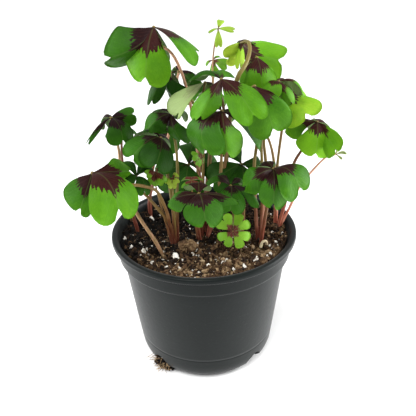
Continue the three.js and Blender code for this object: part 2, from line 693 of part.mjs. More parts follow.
// Crumbs and roots that hang out of the slot at the front left
function rootTuft() {
  const slot = THREE.MathUtils.degToRad(225);
  const outwards = (r, aside, z) => new THREE.Vector3(
    r * Math.cos(slot) - aside * Math.sin(slot), r * Math.sin(slot) + aside * Math.cos(slot), z);
  const crumbs = [[39, 0, 4, 2], [42, 1, 4, 2.6], [45, -1, 5, 2], [44, 3, 3, 1.6]];
  const parts = crumbs.map(([r, aside, z, size]) => lump(size, ...outwards(r, aside, z).toArray(), 0.8));
  const roots = [[-3, 51], [2, 50], [4, 48]];
  for (const [aside, reach] of roots) {
    const path = [outwards(38, 0, 5), outwards(44, aside * 0.4, 5), outwards(reach, aside, 3)];
    parts.push(tubeSolid(path, 0.7, 0.5));
  }
  return joined(parts);
}

function makeMix() {
  const draw = seededDraw(11);
  const parts = [mixPlug(), rootTuft()];
  for (let i = 0; i < LUMP_COUNT; i += 1) {
    const turn = draw() * 2 * Math.PI;
    const reach = 48 * Math.sqrt(draw());
    const size = 1 + 1.4 * draw();
    const x = reach * Math.cos(turn);
    const y = reach * Math.sin(turn);
    parts.push(lump(size, x, y, mixHeight(x, y) + 0.3 * size, 0.8));
  }
  parts.push(lump(5, -10, -17, mixHeight(-10, -17), 0.8));
  let mix = joined(parts);
  for (const clump of CLUMPS) {
    mix = mix.subtract(clumpHole(clump));
  }
  mix = mix.subtract(tubeSolid(SHOOT_PATH, 1 + GAP, 0.7 + GAP));
  addMesh('potting_mix', geometryOf(largestBody(mix)), MIX_COLOUR, 0.95);
}

makePot();
makeMix();
for (const clump of CLUMPS) {
  addMesh(clump.name, geometryOf(clumpSolid(clump)), STALK_COLOUR, 0.6);
}
for (const [name, leaf] of Object.entries(LEAVES)) {
  addMesh(name, geometryOf(bladeSolid(leaf)), leafColour(leaf), 0.55);
}
addMesh('hooked_shoot', geometryOf(tubeSolid(SHOOT_PATH, 1, 0.7)), SHOOT_COLOUR, 0.6);

export default group;
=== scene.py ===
import math
import random

import bmesh
import bpy
import numpy as np
from mathutils import Matrix, Vector, noise


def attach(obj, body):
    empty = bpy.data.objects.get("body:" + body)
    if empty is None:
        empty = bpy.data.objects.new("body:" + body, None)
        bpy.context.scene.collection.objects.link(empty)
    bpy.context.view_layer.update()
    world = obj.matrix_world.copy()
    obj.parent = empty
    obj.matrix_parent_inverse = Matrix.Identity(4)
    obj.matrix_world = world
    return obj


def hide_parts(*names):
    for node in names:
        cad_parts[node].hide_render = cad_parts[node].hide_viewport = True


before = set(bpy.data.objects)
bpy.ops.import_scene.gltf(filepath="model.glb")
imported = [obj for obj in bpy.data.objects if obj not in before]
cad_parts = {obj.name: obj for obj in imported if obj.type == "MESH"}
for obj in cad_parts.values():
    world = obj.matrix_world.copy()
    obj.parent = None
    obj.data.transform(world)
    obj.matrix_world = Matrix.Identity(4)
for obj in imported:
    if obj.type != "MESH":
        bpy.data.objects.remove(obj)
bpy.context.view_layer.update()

MM = 0.001

# Pot and mix, in millimetres, as in the part's source
RIM_RADIUS = 57
POT_HEIGHT = 86
LIP_HEIGHT = 3.5
COLLAR_DROP = 13.5
COLLAR_RADIUS = 54.2
WALL_RADIUS_TOP = 51
WALL_RADIUS_LOW = 43
CORNER_HEIGHT = 8
FOOT_RADIUS = 37.5
WALL = 1.4
GAP = 0.3
MIX_LEVEL = 82
POT_SECTORS = 144

# Openings at the pot's foot; the slots reach a little higher than the part's 7 mm, as in the photo
SLOT_HALF_WIDTH = 7
SLOT_HEIGHT = 10
SLOT_ANGLES = (45, 135, 225, 315)
TUFT_ANGLE = 225
NOTCH_RADIUS = 2
NOTCH_ANGLES = (0, 90, 180, 270)

# Leaves and stalks, in millimetres, as in the part's source
STALK_FOOT_RADIUS = 1.2
STALK_TOP_RADIUS = 0.7
STALK_END = 0.6
STALK_STEPS = 44
STALK_SIDES = 10
HOLE_BOTTOM = 73
CROWN_HEIGHT = 4
APEX_REACH = 0.4
BLADE_HALF_THICKNESS = 0.2
SHOOT_PATH = [(37, -21, 78), (37, -21, 84), (36, -22, 88), (34, -23, 88), (33, -24, 85)]

# Half outlines of a leaflet, from the hub out: shares of its length along and across the rib
HALF_OUTLINE = [
    (0.3, 0.26), (0.5, 0.4), (0.68, 0.48), (0.87, 0.52), (1.02, 0.45), (1.09, 0.28), (1.07, 0.1),
]
YOUNG_HALF_OUTLINE = [(0.34, 0.2), (0.6, 0.4), (0.84, 0.48), (1.02, 0.41), (1.08, 0.24), (1.0, 0.07)]

# Larger perlite grains where the photo shows them: x, y, size in millimetres
LARGE_PERLITE = [
    (-17, -28, 2.4), (-36, -23, 1.9), (-34, 24, 1.6), (2, -38, 1.7), (10, -37, 1.5), (-49, -5, 1.5),
    (-7, -25, 1.3), (-22, -38, 1.4), (-30, -33, 1.2), (-44, -14, 1.3), (-14, -40, 1.1), (-3, -44, 1.0),
    (-39, -8, 1.2), (22, -42, 1.1), (29, -36, 1.2), (36, -31, 0.9), (-24, -30, 1.2), (16, -44, 1.0),
    (43, -17, 1.0), (48, -6, 0.9), (-46, 3, 1.0),
]

# Floor in millimetres; lights and camera in metres and degrees
FLOOR_REACH = 6000
FLOOR_LEVEL = -0.4
WORLD_LIGHT = 0.55
SUN_LIGHT = 2.1
SUN_HEADING = (0.22, 0.5, -1)
SUN_ANGLE = 28
SIDE_LIGHTS = {"left": (-0.75, 8.5), "right": (0.75, 12.0)}
SIDE_LIGHT_SIZE = (0.5, 0.7)
SIDE_LIGHT_PLACE = (0.05, 0.28)
SIDE_LIGHT_AIM = (0, 0, 0.1)
CAMERA_PLACE = (0, -0.3203, 0.2745)
CAMERA_AIM = (0.0029, 0, 0.0993)
CAMERA_LENS = 51.77
CAMERA_ROLL = -1.5

# Leaves, named and placed as in the part's source and set closer to the photo. A row of leaflets
# gives the notch's place from the hub in millimetres (x, y, z) and the width in percent, then fold
# and roll in degrees, the rib's arch in millimetres and the outline's lean in percent. What a row
# leaves out comes from LEAFLET_REST, or YOUNG_LEAFLET_REST for a young leaf.
# tone, tones: deep green at 0 to lime above 1, for the leaf or for each leaflet; besides the leaf's own
# green they carry painted shade and light, low for leaves in shade inside the plant and high for lit
# and backlit leaflets
# mark, marks: how far the maroon mark reaches, as a share of the leaflet
# notch: how far out the notch ends, as a share of the leaflet
# axis: the way the leaf faces; lime, shade: its group
# stalk: points that the stalk passes; hook: it bends over to the hub; stout: its thickness
# tint: the stalk's colour, from dark at 0 to pale pink at 1; pink: how pale its red foot is
LEAFLET_REST = [15, 0, 4, 0]
YOUNG_LEAFLET_REST = [12, 0, 1, 0]
LEAVES = {}


def grow(name, **leaf):
    LEAVES[name] = leaf


grow("leaf_top_left", tone=0.8, tones=[0.46, 0.79, 0.62, 0.5], mark=0.6, hub=[-23, 0, 208],
     axis=[0, -0.25, 1], stalk=[[-2, -3, 103], [-2, 2, 133], [-8, 8, 175], [-15, 3, 194]], tint=0.95,
     leaflets=[[-23, -14, -12, 90, 40, 74, 9, 29], [-5, -16, -23, 94, 26, 10, 9, 17],
     [22, -5, -12, 131, 3, 22, 2, -35], [-3, 16, -23, 70, 30]])
grow("leaf_behind_top_left", tone=0.32, hub=[-16, 10, 181], axis=[0.01, 0.23, 0.97], shade=True,
     stalk=[[-3, 0, 119], [0, 4, 152], [-7, 6, 169]], tint=0.6,
     leaflets=[[-11, -8, -14, 56, 40, 61, 9, -21], [1, -9, -11, 110, 36, -58, 4, 35],
     [2, 8, -16, 50, 30, 0, 3], [-10, 4, -7, 50, 30, 0, 3]])
grow("leaf_folded_left", tone=0.5, hub=[-12, 25, 177],
     stalk=[[-35, 27, 92], [-22, 32, 130], [-13, 32, 160]], tint=0.9,
     leaflets=[[14, -15, -5, 60, 50], [7, 10, -11, 60, 50], [-3, 13, -5, 50, 40],
     [-12, 6, -7, 50, 40, 0, 2]])
grow("leaf_turned_over", tone=0.5, tones=[0.85, 0.7], hub=[3, -8, 180], axis=[0.2, 0, 1],
     stalk=[[0, -3, 107], [1, -3, 139], [2, -6, 168]], tint=0.55,
     leaflets=[[-15, -6, -15, 101, 10, 170, -2], [5, 11, -13, 60, 30]])
grow("leaf_upper_centre", tone=0.78, tones=[0.69, 0.68, 0.6, 0.45], marks=[0.52, 0.52, 0.22, 0.22],
     hub=[11, -26, 187], axis=[0.07, -0.13, 0.99], stalk=[[11, -4, 117], [14, -8, 141], [12, -16, 172]],
     tint=0.4, pink=0.3,
     leaflets=[[-11, -10, -16, 73, 40, 32, 9, -35], [15, -20, -13, 64, 0, -18, 4, 4],
     [2, 22, -2, 64, 28, 0, 2], [-14, 17, -4, 60, 20]])
grow("leaf_top_right", tone=0.85, tones=[1.22, 1.1, 0.86, 0.6], hub=[24, 18, 194],
     axis=[0.06, 0.02, 1.0], hook=True, stalk=[[13, 0, 118], [15, -3, 145], [19, -15, 181],
     [21, -16, 187], [24, -13, 190], [27, -4, 195], [27, 9, 197]], tint=0.7, stout=1.4,
     leaflets=[[-8, -12, -5, 75, 0, 77, 3], [-2, -18, -7, 50, 60], [22, 0, -10, 124, 15, -46, -3],
     [6, 15, -8, 80, 20]])
grow("leaf_under_top_right", tone=0.78, mark=0.62, hub=[31, -2, 191], axis=[-0.12, 0.03, 0.99],
     stalk=[[30, -8, 131], [32, -2, 144], [31, 6, 171]], tint=0.62,
     leaflets=[[-4, -10, -15, 85, 25], [2, -12, -14, 98, 18, 5, 5], [8, 5, -14, 40, 30, 0, 2],
     [-9, 2, -15, 45, 30, 0, 3]])
grow("leaf_right_upper", tone=0.72, mark=0.6, hub=[42, -10, 180], axis=[0.13, 0.16, 0.98],
     stalk=[[37, -5, 129], [36, -1, 144], [39, -2, 164]], tint=0.55, pink=0.35,
     leaflets=[[-6, -8, -4, 115, 0, 3, 3], [6, -8, -9, 67, 42, -59, 5], [14, 6, -8, 60, 30],
     [6, 16, -10, 60, 30]])
grow("leaf_right_broad", tone=0.62, hub=[28, -23, 182], axis=[0.4, -0.8, 0.6],
     stalk=[[35, -10, 109], [34, -6, 141], [31, -11, 165]], tint=0.65, pink=0.3,
     leaflets=[[9, -11, -20, 92, 0, -25, 8], [3, 6, -13, 45, 20, 0, 0], [-8, -3, -8, 60, 20, 0, 2]])
grow("leaf_right_lime", tone=1.05, hub=[48, 12, 163], lime=True,
     stalk=[[45, 5, 122], [48, 10, 148]], tint=0.5, pink=0.8,
     leaflets=[[10, -22, -2, 100, 10, -20], [17, 16, -5, 90, 10, -50], [-2, 17, -6, 80, 20],
     [-3, -23, -4, 40, 20]])
grow("leaf_far_right", tone=1.02, tones=[0.76, 0.92, 0.82, 0.7], mark=0.46, hub=[66, 0, 153],
     axis=[0.27, -0.03, 0.96], stalk=[[50, 2, 99], [54, -2, 129], [58, -1, 136]], tint=0.2, pink=0.75,
     leaflets=[[-17, 5, -6, 89, 45, 48], [-2, -12, -15, 120, 20, -18, 5, 15],
     [7, -21, -9, 55, 0, -71, -1], [6, 15, -12, 80, 20]])
grow("leaf_lower_right", tone=0.52, mark=0.62, notch=0.95, hub=[37, -38, 142],
     axis=[-0.04, -0.2, 0.98], stalk=[[36, -22, 109], [37, -30, 126]], tint=0.3, pink=0.4,
     leaflets=[[-15, -4, -8, 83, 28, 36, 9, 8], [-1, -12, -15, 81, 18, 3, 9, 10],
     [12, -14, -5, 112, 0, 5, 6, -14], [-4, 14, -6, 80]])
grow("leaf_far_left", tone=0.72, tones=[0.55, 0.73, 0.5, 0.7], marks=[0.58, 0.66, 0.5, 0.6],
     notch=0.93, hub=[-57, -38, 143], axis=[-0.16, -0.27, 0.95], stalk=[[-20, -12, 92], [-21, -16, 105],
     [-24, -20, 118], [-26, -23, 124], [-31, -26, 128], [-40, -31, 132], [-49, -35, 133]], tint=0.5,
     pink=0.12,
     leaflets=[[-8, -6, -19, 106, 40, 64, 0, 35], [15, -20, -14, 96, 5, 23, 8, -2], [9, 8, -13, 60, 20],
     [18, 14, -6, 84, 45, -62]])
grow("leaf_left_upper", tone=0.42, marks=[0.8, 0.6, 0.66, 0.6], hub=[-51, 5, 157],
     axis=[-0.15, 0.0, 0.99], stalk=[[-28, -21, 88], [-39, -14, 105], [-47, -5, 122], [-48, 2, 138]],
     tint=0.84, pink=0.02,
     leaflets=[[-10, -20, -5, 25, 58, 25, 3], [7, -11, -10, 106, 11, 14], [12, 6, 0, 100, 36, -59, -1],
     [-6, 14, -9, 60, 40]])
grow("leaf_centre_left", tone=0.42, hub=[-16, -5, 162], axis=[0.21, 0.07, 0.97],
     stalk=[[-15, -9, 115], [-14, -9, 132], [-15, -6, 148]], tint=0.7,
     leaflets=[[-13, -7, -6, 119, 40, 42, 6, -27], [5, -10, -12, 82, 40, -58, 5, 35], [5, 17, -8, 50],
     [-10, 16, -8, 50]])
grow("leaf_centre", tone=0.6, tones=[0.5, 0.66, 0.42, 0.42], mark=0.56, hub=[11, -28, 171],
     axis=[0.17, -0.1, 0.98], stalk=[[10, -10, 123], [11, -16, 144]], tint=0.5, pink=0.35,
     leaflets=[[-9, -8, -18, 117, 0, -16, 9, -15], [2, -13, -18, 102, 40, -23, 9, 30],
     [21, 8, -17, 92, 8, -15], [-11, 16, -6, 80]])
grow("leaf_lower_front", tone=0.52, mark=0.68, notch=0.95, hub=[-2, -48, 134],
     axis=[0.1, -0.07, 0.99], stalk=[[-3, -12, 88], [-4, -30, 111]], tint=0.35, pink=0.45,
     leaflets=[[-16, 3, -6, 82, 42, 39, 3], [3, -13, -10, 121, 11, -13, 9, 11],
     [20, 0, -5, 88, 59, -36, 3], [-1, 16, -4, 90, 10]])
grow("leaf_beside_lower_front", tone=0.4, hub=[15, -34, 131],
     stalk=[[23, -20, 104], [21, -28, 119]], tint=0.45,
     leaflets=[[-11, 7, 1, 90, 10], [-1, -16, -6, 90, 10], [14, -9, -6, 50, 50], [7, 6, -2, 80, 20]])
grow("leaf_left_middle", tone=0.42, tones=[0.44, 0.3, 0.3, 0.34], hub=[-22, -15, 152],
     stalk=[[-18, -12, 109], [-20, -13, 132], [-22, -15, 146]], tint=0.66,
     leaflets=[[-14, -17, -3, 90], [-2, -21, -7, 90], [-2, 18, -12, 60], [-13, 14, -4, 60, 25]])
grow("leaf_left_shade", tone=0.35, mark=0.15, hub=[-37, -17, 130], shade=True,
     stalk=[[-20, -13, 96], [-26, -17, 109], [-33, -19, 120]],
     leaflets=[[-8, 7, 6, 75], [5, -10, -5, 75], [6, 12, 2, 75], [-7, -10, 0, 75]])
grow("leaf_inner_shade", tone=0.34, mark=0.15, hub=[-8, 6, 126], shade=True,
     stalk=[[-4, 0, 100], [-7, 5, 114]],
     leaflets=[[-19, -2, -8, 105, 12], [-2, -14, -13, 110, 12], [17, 2, -3, 105, 12],
     [4, 15, 8, 100, 12]])
grow("leaf_inner_right_shade", tone=0.34, mark=0.15, hub=[23, -2, 129], shade=True,
     stalk=[[18, -6, 106]],
     leaflets=[[-17, -6, -9, 105, 12], [0, -12, -13, 100, 12], [14, 4, -7, 100, 12],
     [-9, 12, 7, 95, 12]])
grow("leaf_left_back", tone=0.38, hub=[-48, 16, 146], shade=True,
     stalk=[[-47, 10, 105], [-48, 12, 130]], tint=0.2,
     leaflets=[[-9, 3, -4, 80, 15, 0, 2], [-2, -8, -4, 80, 15, 0, 2], [9, 3, -4, 80, 15, 0, 2],
     [1, 10, -4, 80, 15, 0, 2]])
grow("leaf_back_left", tone=0.42, hub=[-24, 46, 136], stalk=[[-34, 30, 100], [-29, 40, 120]],
     tint=0.3,
     leaflets=[[-15, -3, -6, 75], [2, -14, -12, 95], [15, 3, -7, 80], [-2, 16, -8, 85]])
grow("leaf_back_middle", tone=0.6, hub=[8, 40, 162], stalk=[[2, 8, 105], [5, 24, 140]],
     leaflets=[[-16, -4, -6, 75], [4, -14, -6, 60, 20, 0, 3], [17, 6, -7, 80], [-5, 18, -8, 85]])
grow("leaf_back_right", tone=0.55, hub=[34, 40, 146], stalk=[[46, 12, 105], [42, 28, 132]],
     pink=0.7,
     leaflets=[[-16, 2, -6, 70], [2, -15, -6, 70, 20, 0, 3], [17, 3, -7, 80], [-1, 18, -8, 85]])
grow("young_red_eye_left", tone=1.0, mark=0.7, hub=[-26, -18, 133], young=True,
     stalk=[[-25, -16, 114]],
     leaflets=[[-5, -3, 0, 100], [-2, -4, -6, 100], [5, -4, -5, 90], [2, 5, -1, 90]])
grow("young_pale_bud", tone=1.3, hub=[-17, -16, 128], young=True, stalk=[[-17, -14, 113]],
     leaflets=[[-3, -3, -2, 90], [0, -3, -5, 90], [3, -3, -2, 90], [3, 3, 1, 90]])
grow("young_red_eye_right", tone=0.8, mark=0.7, hub=[-6, -20, 128], young=True,
     stalk=[[-6, -12, 105]],
     leaflets=[[-4, -5, -2, 100], [4, -5, -2, 100], [4, 6, -1, 100], [-4, 6, -1, 100]])
grow("young_hanging_bud", tone=0.9, hub=[-1, -14, 140], young=True,
     stalk=[[-3, -8, 103], [-1, -12, 127]], tint=0.25,
     leaflets=[[-4, -4, 2, 100], [-1, -4, -4, 100], [2, 3, -5, 40], [1, 6, 0, 40]])
grow("young_top_sprig", tone=1.15, mark=0.2, hub=[11, 10, 204], axis=[0, -0.7, 0.7], young=True,
     stalk=[[4, 2, 130], [7, 8, 165], [8, 14, 187], [10, 13, 199]], tint=0.85,
     leaflets=[[2, 8, 3, 48], [8, -4, 0, 40], [-5, -3, -1, 24], [0, -5, -8, 48]])
grow("young_low_sprig", tone=0.95, hub=[8, 18, 185], young=True, stalk=[[7, 5, 150], [8, 16, 173]],
     leaflets=[[8, -4, -2, 80], [1, -4, -8, 70], [-4, 2, -3, 50], [4, 4, 1, 50]])
grow("young_right_tip", tone=1.1, hub=[80, 5, 130], young=True, hook=True,
     stalk=[[54, 4, 97], [58, 4, 108], [65, 4, 119], [76, 5, 130]], tint=1.0, pink=0.95, stout=1.4,
     leaflets=[[5, -2, 2, 50], [3, 4, 3, 60], [3, -2, -2, 40], [-3, 2, 3, 40]])
grow("young_front_clover", tone=1.02, notch=0.76, hub=[16, -36, 104], axis=[0, -0.85, 0.5],
     young=True, stalk=[[17, -27, 96]],
     leaflets=[[-6, 4, 6, 125], [7, 3, 6, 125], [7, -3, -6, 125], [-6, -2, -6, 125]])

# Clumps of stalks: the crown's place and half width in millimetres, and whose stalks rise from it
CLUMPS = {
    "stalks_left": dict(
        at=[-17, -10], spread=3, leaves=["leaf_centre_left", "leaf_left_middle", "leaf_far_left",
        "leaf_left_shade", "young_red_eye_left", "young_pale_bud"]),
    "stalks_centre": dict(
        at=[-2, -4], spread=4, leaves=["leaf_top_left", "leaf_behind_top_left", "leaf_turned_over",
        "leaf_upper_centre", "leaf_top_right", "leaf_centre", "leaf_lower_front", "leaf_inner_shade",
        "young_red_eye_right", "young_hanging_bud", "young_top_sprig", "young_low_sprig",
        "leaf_back_middle"]),
    "stalks_right": dict(
        at=[33, -14], spread=2, leaves=["leaf_under_top_right", "leaf_right_upper", "leaf_right_broad",
        "leaf_lower_right"]),
    "stalks_far_right": dict(
        at=[45, 4], spread=2, leaves=["leaf_right_lime", "leaf_far_right", "young_right_tip",
        "leaf_back_right"]),
    "stalks_far_left": dict(
        at=[-42, 10], spread=1, leaves=["leaf_left_back"]),
    "stalks_back_left": dict(
        at=[-35, 26], spread=1, leaves=["leaf_folded_left", "leaf_back_left"]),
    "stalks_front_left": dict(
        at=[-24, -23], spread=1, leaves=["leaf_left_upper"]),
    "stalks_front_right": dict(
        at=[20, -20], spread=2, leaves=["leaf_beside_lower_front", "leaf_inner_right_shade",
        "young_front_clover"]),
}


# Small helpers
def draws(seed):
    return random.Random(seed)


def unit(v):
    v = np.asarray(v, float)
    return v / np.linalg.norm(v)


def ring_points(radius, z, count, shift=0.0):
    """Points of a level ring; shift turns it by a share of a step."""
    turns = [2 * math.pi * (k + shift) / count for k in range(count)]
    return [(radius * math.cos(a), radius * math.sin(a), z) for a in turns]


def heading_and_side(degrees):
    turn = math.radians(degrees)
    out = np.array([math.cos(turn), math.sin(turn), 0])
    aside = np.array([-math.sin(turn), math.cos(turn), 0])
    return out, aside


# Shader graphs
class Graph:
    """A material's nodes, written as one call each."""

    def __init__(self, name):
        self.material = bpy.data.materials.new(name)
        self.material.use_nodes = True
        self.tree = self.material.node_tree
        self.shader = self.tree.nodes["Principled BSDF"]
        self.out = self.tree.nodes["Material Output"]

    def link(self, value, socket):
        if isinstance(value, bpy.types.NodeSocket):
            self.tree.links.new(value, socket)
        elif isinstance(value, (tuple, list)) and len(value) == 3 and len(socket.default_value) == 4:
            socket.default_value = (*value, 1)
        else:
            socket.default_value = value

    def node(self, kind, inputs=(), **settings):
        """A new node with its settings and the values of its first inputs."""
        node = self.tree.nodes.new("ShaderNode" + kind)
        for key, value in settings.items():
            setattr(node, key, value)
        for value, socket in zip(inputs, node.inputs):
            self.link(value, socket)
        return node

    def math(self, operation, a, b=0.0):
        return self.node("Math", (a, b), operation=operation).outputs[0]

    def add(self, total, *others):
        for value in others:
            total = self.math("ADD", total, value)
        return total

    def sub(self, a, b):
        return self.math("SUBTRACT", a, b)

    def mul(self, a, b):
        return self.math("MULTIPLY", a, b)

    def swing(self, value, amount):
        """A value from 0 to 1 as a change around nought."""
        return self.mul(self.sub(value, 0.5), amount)

    def zigzag(self, value):
        """Distance from the middle of each whole step, from 0 to 0.5."""
        return self.math("ABSOLUTE", self.sub(self.math("FRACT", value), 0.5))

    def mix(self, factor, a, b, blend="MIX"):
        node = self.node("Mix", (factor,), data_type="RGBA", blend_type=blend)
        self.link(a, node.inputs[6])
        self.link(b, node.inputs[7])
        return node.outputs[2]

    def ramp(self, value, stops):
        node = self.node("ValToRGB", (value,))
        marks = node.color_ramp.elements
        while len(marks) < len(stops):
            marks.new(0.5)
        for mark, (place, colour) in zip(marks, stops):
            mark.position = place
            mark.color = (*colour, 1)
        return node.outputs[0]

    def span(self, value, low, high, to_low=0.0, to_high=1.0):
        inputs = (value, low, high, to_low, to_high)
        return self.node("MapRange", inputs, interpolation_type="SMOOTHSTEP").outputs[0]

    def place(self):
        return self.node("TexCoord").outputs["Object"]

    def noise(self, vector, scale, detail=3.0, rough=0.55):
        return self.node("TexNoise", (vector, 0.0, scale, detail, rough)).outputs["Fac"]

    def parts(self, vector):
        return self.node("SeparateXYZ", (vector,)).outputs

    def joined(self, x, y, z):
        return self.node("CombineXYZ", (x, y, z)).outputs[0]

    def stored(self, name):
        return self.parts(self.node("Attribute", attribute_name=name).outputs["Vector"])

    def stretched(self, vector, factors):
        return self.joined(*[self.mul(a, b) for a, b in zip(self.parts(vector), factors)])

    def bump(self, height, distance, strength):
        node = self.node("Bump", (strength, distance))
        self.link(height, node.inputs["Height"])
        self.link(node.outputs[0], self.shader.inputs["Normal"])

    def finish(self, colour, rough, specular, glow=None):
        """Sets the surface; glow is the share and tint of the light that passes through."""
        self.link(colour, self.shader.inputs["Base Color"])
        self.link(rough, self.shader.inputs["Roughness"])
        self.shader.inputs["Specular IOR Level"].default_value = specular
        if glow is not None:
            share, tint = glow
            through = self.node("BsdfTranslucent", (self.mix(1.0, colour, tint, "MULTIPLY"),))
            both = self.node("MixShader", (share, self.shader.outputs[0], through.outputs[0]))
            self.link(both.outputs[0], self.out.inputs["Surface"])
        return self.material


# Blades store "blade": along and across the rib, as shares of the leaflet's length, and the tone,
# which carries painted shade and light; and "leaflet": a seed and how far the mark reaches
def blade_graph(name):
    """A graph with a blade's stored values and its veins."""
    g = Graph(name)
    g.along, across, g.tone = g.stored("blade")
    seed, g.mark_reach, _ = g.stored("leaflet")
    g.off = g.math("ABSOLUTE", across)
    g.where = g.joined(g.along, across, seed)
    warp = g.noise(g.where, 7, 2)
    flow = g.add(g.sub(g.along, g.mul(g.off, 1.15)), g.swing(warp, 0.16))
    stripe = g.zigzag(g.mul(flow, 9))
    g.lateral = g.mul(g.span(stripe, 0.36, 0.5), g.span(g.off, 0.01, 0.05))
    g.midrib = g.span(g.off, 0.006, 0.022, 1, 0)
    return g


def mark_mask(g):
    """1 inside the maroon mark, whose edge is toothed and runs out along the rib."""
    distance = g.math("SQRT", g.add(g.mul(g.along, g.along), g.mul(g.off, g.off)))
    turn = g.math("DIVIDE", g.off, g.math("MAXIMUM", g.along, 0.02))
    wobble = g.sub(g.noise(g.where, 9, 2), 0.5)
    teeth = g.zigzag(g.add(g.mul(turn, 6), g.mul(wobble, 1.6)))
    edge = g.add(g.sub(g.mark_reach, g.mul(turn, 0.14)), g.mul(g.sub(teeth, 0.25), 0.24),
                 g.span(turn, 0.02, 0.14, 0.06, 0), g.mul(wobble, 0.24),
                 g.swing(g.noise(g.where, 34, 2), 0.08))
    return g.span(g.sub(distance, edge), -0.022, 0.014, 1, 0)


# Greens by tone: the deep end is painted shade for leaves in shade; the lime end serves young leaves
# and, as painted light, lit and backlit leaflets
GREENS = [
    (0, (0.004, 0.02, 0.002)),
    (0.25, (0.013, 0.058, 0.003)),
    (0.45, (0.036, 0.145, 0.005)),
    (0.62, (0.092, 0.28, 0.008)),
    (0.8, (0.17, 0.42, 0.011)),
    (1, (0.37, 0.52, 0.04)),
]


def leaf_upper():
    g = blade_graph("leaf_upper")
    shade = g.add(g.mul(g.tone, 0.8), g.swing(g.noise(g.place(), 110), 0.22),
                  g.span(g.along, 0.6, 1.1, -0.02, 0.05),
                  g.swing(g.noise(g.where, 26), 0.1), g.mul(g.lateral, 0.025))
    maroon = g.mix(g.noise(g.where, 18), (0.02, 0.0045, 0.0045), (0.055, 0.013, 0.01))
    # Painted shade: the mark turns nearly black on leaves of low tone
    maroon = g.mix(g.span(g.tone, 0.4, 0.75), (0.012, 0.0035, 0.004), maroon)
    maroon = g.mix(g.mul(g.lateral, 0.2), maroon, (0.08, 0.026, 0.02))
    colour = g.mix(mark_mask(g), g.ramp(shade, GREENS), maroon)
    colour = g.mix(g.mul(g.midrib, 0.12), colour, (0.2, 0.3, 0.08))
    height = g.add(g.mul(g.lateral, -0.3), g.mul(g.noise(g.where, 42), 0.6))
    g.bump(height, 0.00022, 0.75)
    rough = g.add(0.4, g.mul(g.noise(g.where, 12, 2), 0.14))
    return g.finish(colour, rough, 0.1, (0.14, (0.9, 1, 0.2)))


def leaf_under():
    g = blade_graph("leaf_under")
    # The underside is darker at low tone too: painted shade
    pale = g.ramp(g.mul(g.tone, 0.8), [
        (0, (0.06, 0.11, 0.035)),
        (0.4, (0.15, 0.26, 0.085)),
        (0.8, (0.33, 0.43, 0.15)),
        (1, (0.44, 0.5, 0.16)),
    ])
    colour = g.mix(g.mul(mark_mask(g), 0.35), pale, (0.14, 0.09, 0.06))
    colour = g.mix(g.mul(g.lateral, 0.3), colour, (0.36, 0.45, 0.22))
    colour = g.mix(g.mul(g.midrib, 0.7), colour, (0.4, 0.46, 0.24))
    g.bump(g.add(g.mul(g.lateral, 0.7), g.mul(g.midrib, 1.2)), 0.0003, 0.8)
    return g.finish(colour, 0.6, 0.3, (0.16, (0.9, 1, 0.4)))


def young_upper():
    g = blade_graph("young_upper")
    shade = g.add(g.mul(g.tone, 0.8), g.swing(g.noise(g.where, 16), 0.16))
    colour = g.mix(mark_mask(g), g.ramp(shade, GREENS), (0.12, 0.019, 0.012))
    colour = g.mix(g.mul(g.midrib, 0.15), colour, (0.34, 0.42, 0.12))
    g.bump(g.noise(g.where, 20, 2), 0.0002, 0.5)
    return g.finish(colour, 0.5, 0.35, (0.2, (1, 1, 0.4)))


# Stalks store "stalk": share of the way up, tint and pink
def stalk_material():
    g = Graph("stalk")
    up, tint, pink = g.stored("stalk")
    streak = g.noise(g.stretched(g.place(), (700, 700, 90)), 1)
    body = g.ramp(g.add(tint, g.swing(streak, 0.3)), [
        (0, (0.05, 0.014, 0.008)),
        (0.25, (0.13, 0.045, 0.02)),
        (0.5, (0.19, 0.12, 0.035)),
        (0.75, (0.16, 0.14, 0.025)),
        (1, (0.72, 0.36, 0.25)),
    ])
    red = g.mix(pink, (0.07, 0.009, 0.006), (0.46, 0.115, 0.07))
    # Painted highlight: the red foot turns pale along its streaks
    pale = g.mix(pink, (0.26, 0.09, 0.055), (0.7, 0.33, 0.23))
    red = g.mix(g.span(streak, 0.45, 0.75), red, pale)
    foot = g.span(g.add(up, g.mul(streak, 0.2)), 0.2, 0.62, 1, 0)
    colour = g.mix(g.mul(foot, g.span(pink, 0, 0.1, 0.1, 1)), body, red)
    root = g.span(g.add(up, g.mul(streak, 0.04)), 0.05, 0.1, 1, 0)
    colour = g.mix(g.mul(root, 0.5), colour, (0.14, 0.06, 0.03))
    fine = g.noise(g.place(), 1500, 2)
    colour = g.mix(g.mul(fine, 0.13), colour, (0.32, 0.2, 0.1))
    g.bump(fine, 0.0001, 0.5)
    return g.finish(colour, 0.45, 0.25)


def shoot_material():
    g = Graph("pale_shoot")
    up = g.stored("stalk")[0]
    colour = g.mix(g.span(up, 0.55, 1), (0.5, 0.42, 0.27), (0.62, 0.56, 0.36))
    fine = g.noise(g.place(), 1200, 2)
    colour = g.mix(g.mul(fine, 0.4), colour, (0.42, 0.26, 0.14))
    g.bump(fine, 0.00015, 0.5)
    return g.finish(colour, 0.5, 0.35)


def pot_material():
    g = Graph("pot_plastic")
    at = g.place()
    fine = g.noise(at, 420, 3, 0.6)
    colour = g.mix(g.noise(at, 14), (0.0035, 0.0056, 0.0054), (0.0065, 0.0095, 0.0092))
    dust = g.span(g.noise(at, 900, 2), 0.66, 0.78)
    colour = g.mix(g.mul(dust, 0.1), colour, (0.14, 0.135, 0.12))
    scuff = g.span(g.noise(g.stretched(at, (1, 1, 12)), 60, 2), 0.62, 0.8)
    colour = g.mix(g.mul(scuff, 0.08), colour, (0.09, 0.1, 0.095))
    g.bump(g.add(fine, g.mul(dust, 0.6)), 0.00012, 0.5)
    rough = g.add(0.3, g.add(g.mul(fine, 0.12), g.mul(scuff, 0.12)))
    g.shader.inputs["Sheen Weight"].default_value = 0.07
    g.shader.inputs["Sheen Roughness"].default_value = 0.5
    return g.finish(colour, rough, 0.11)


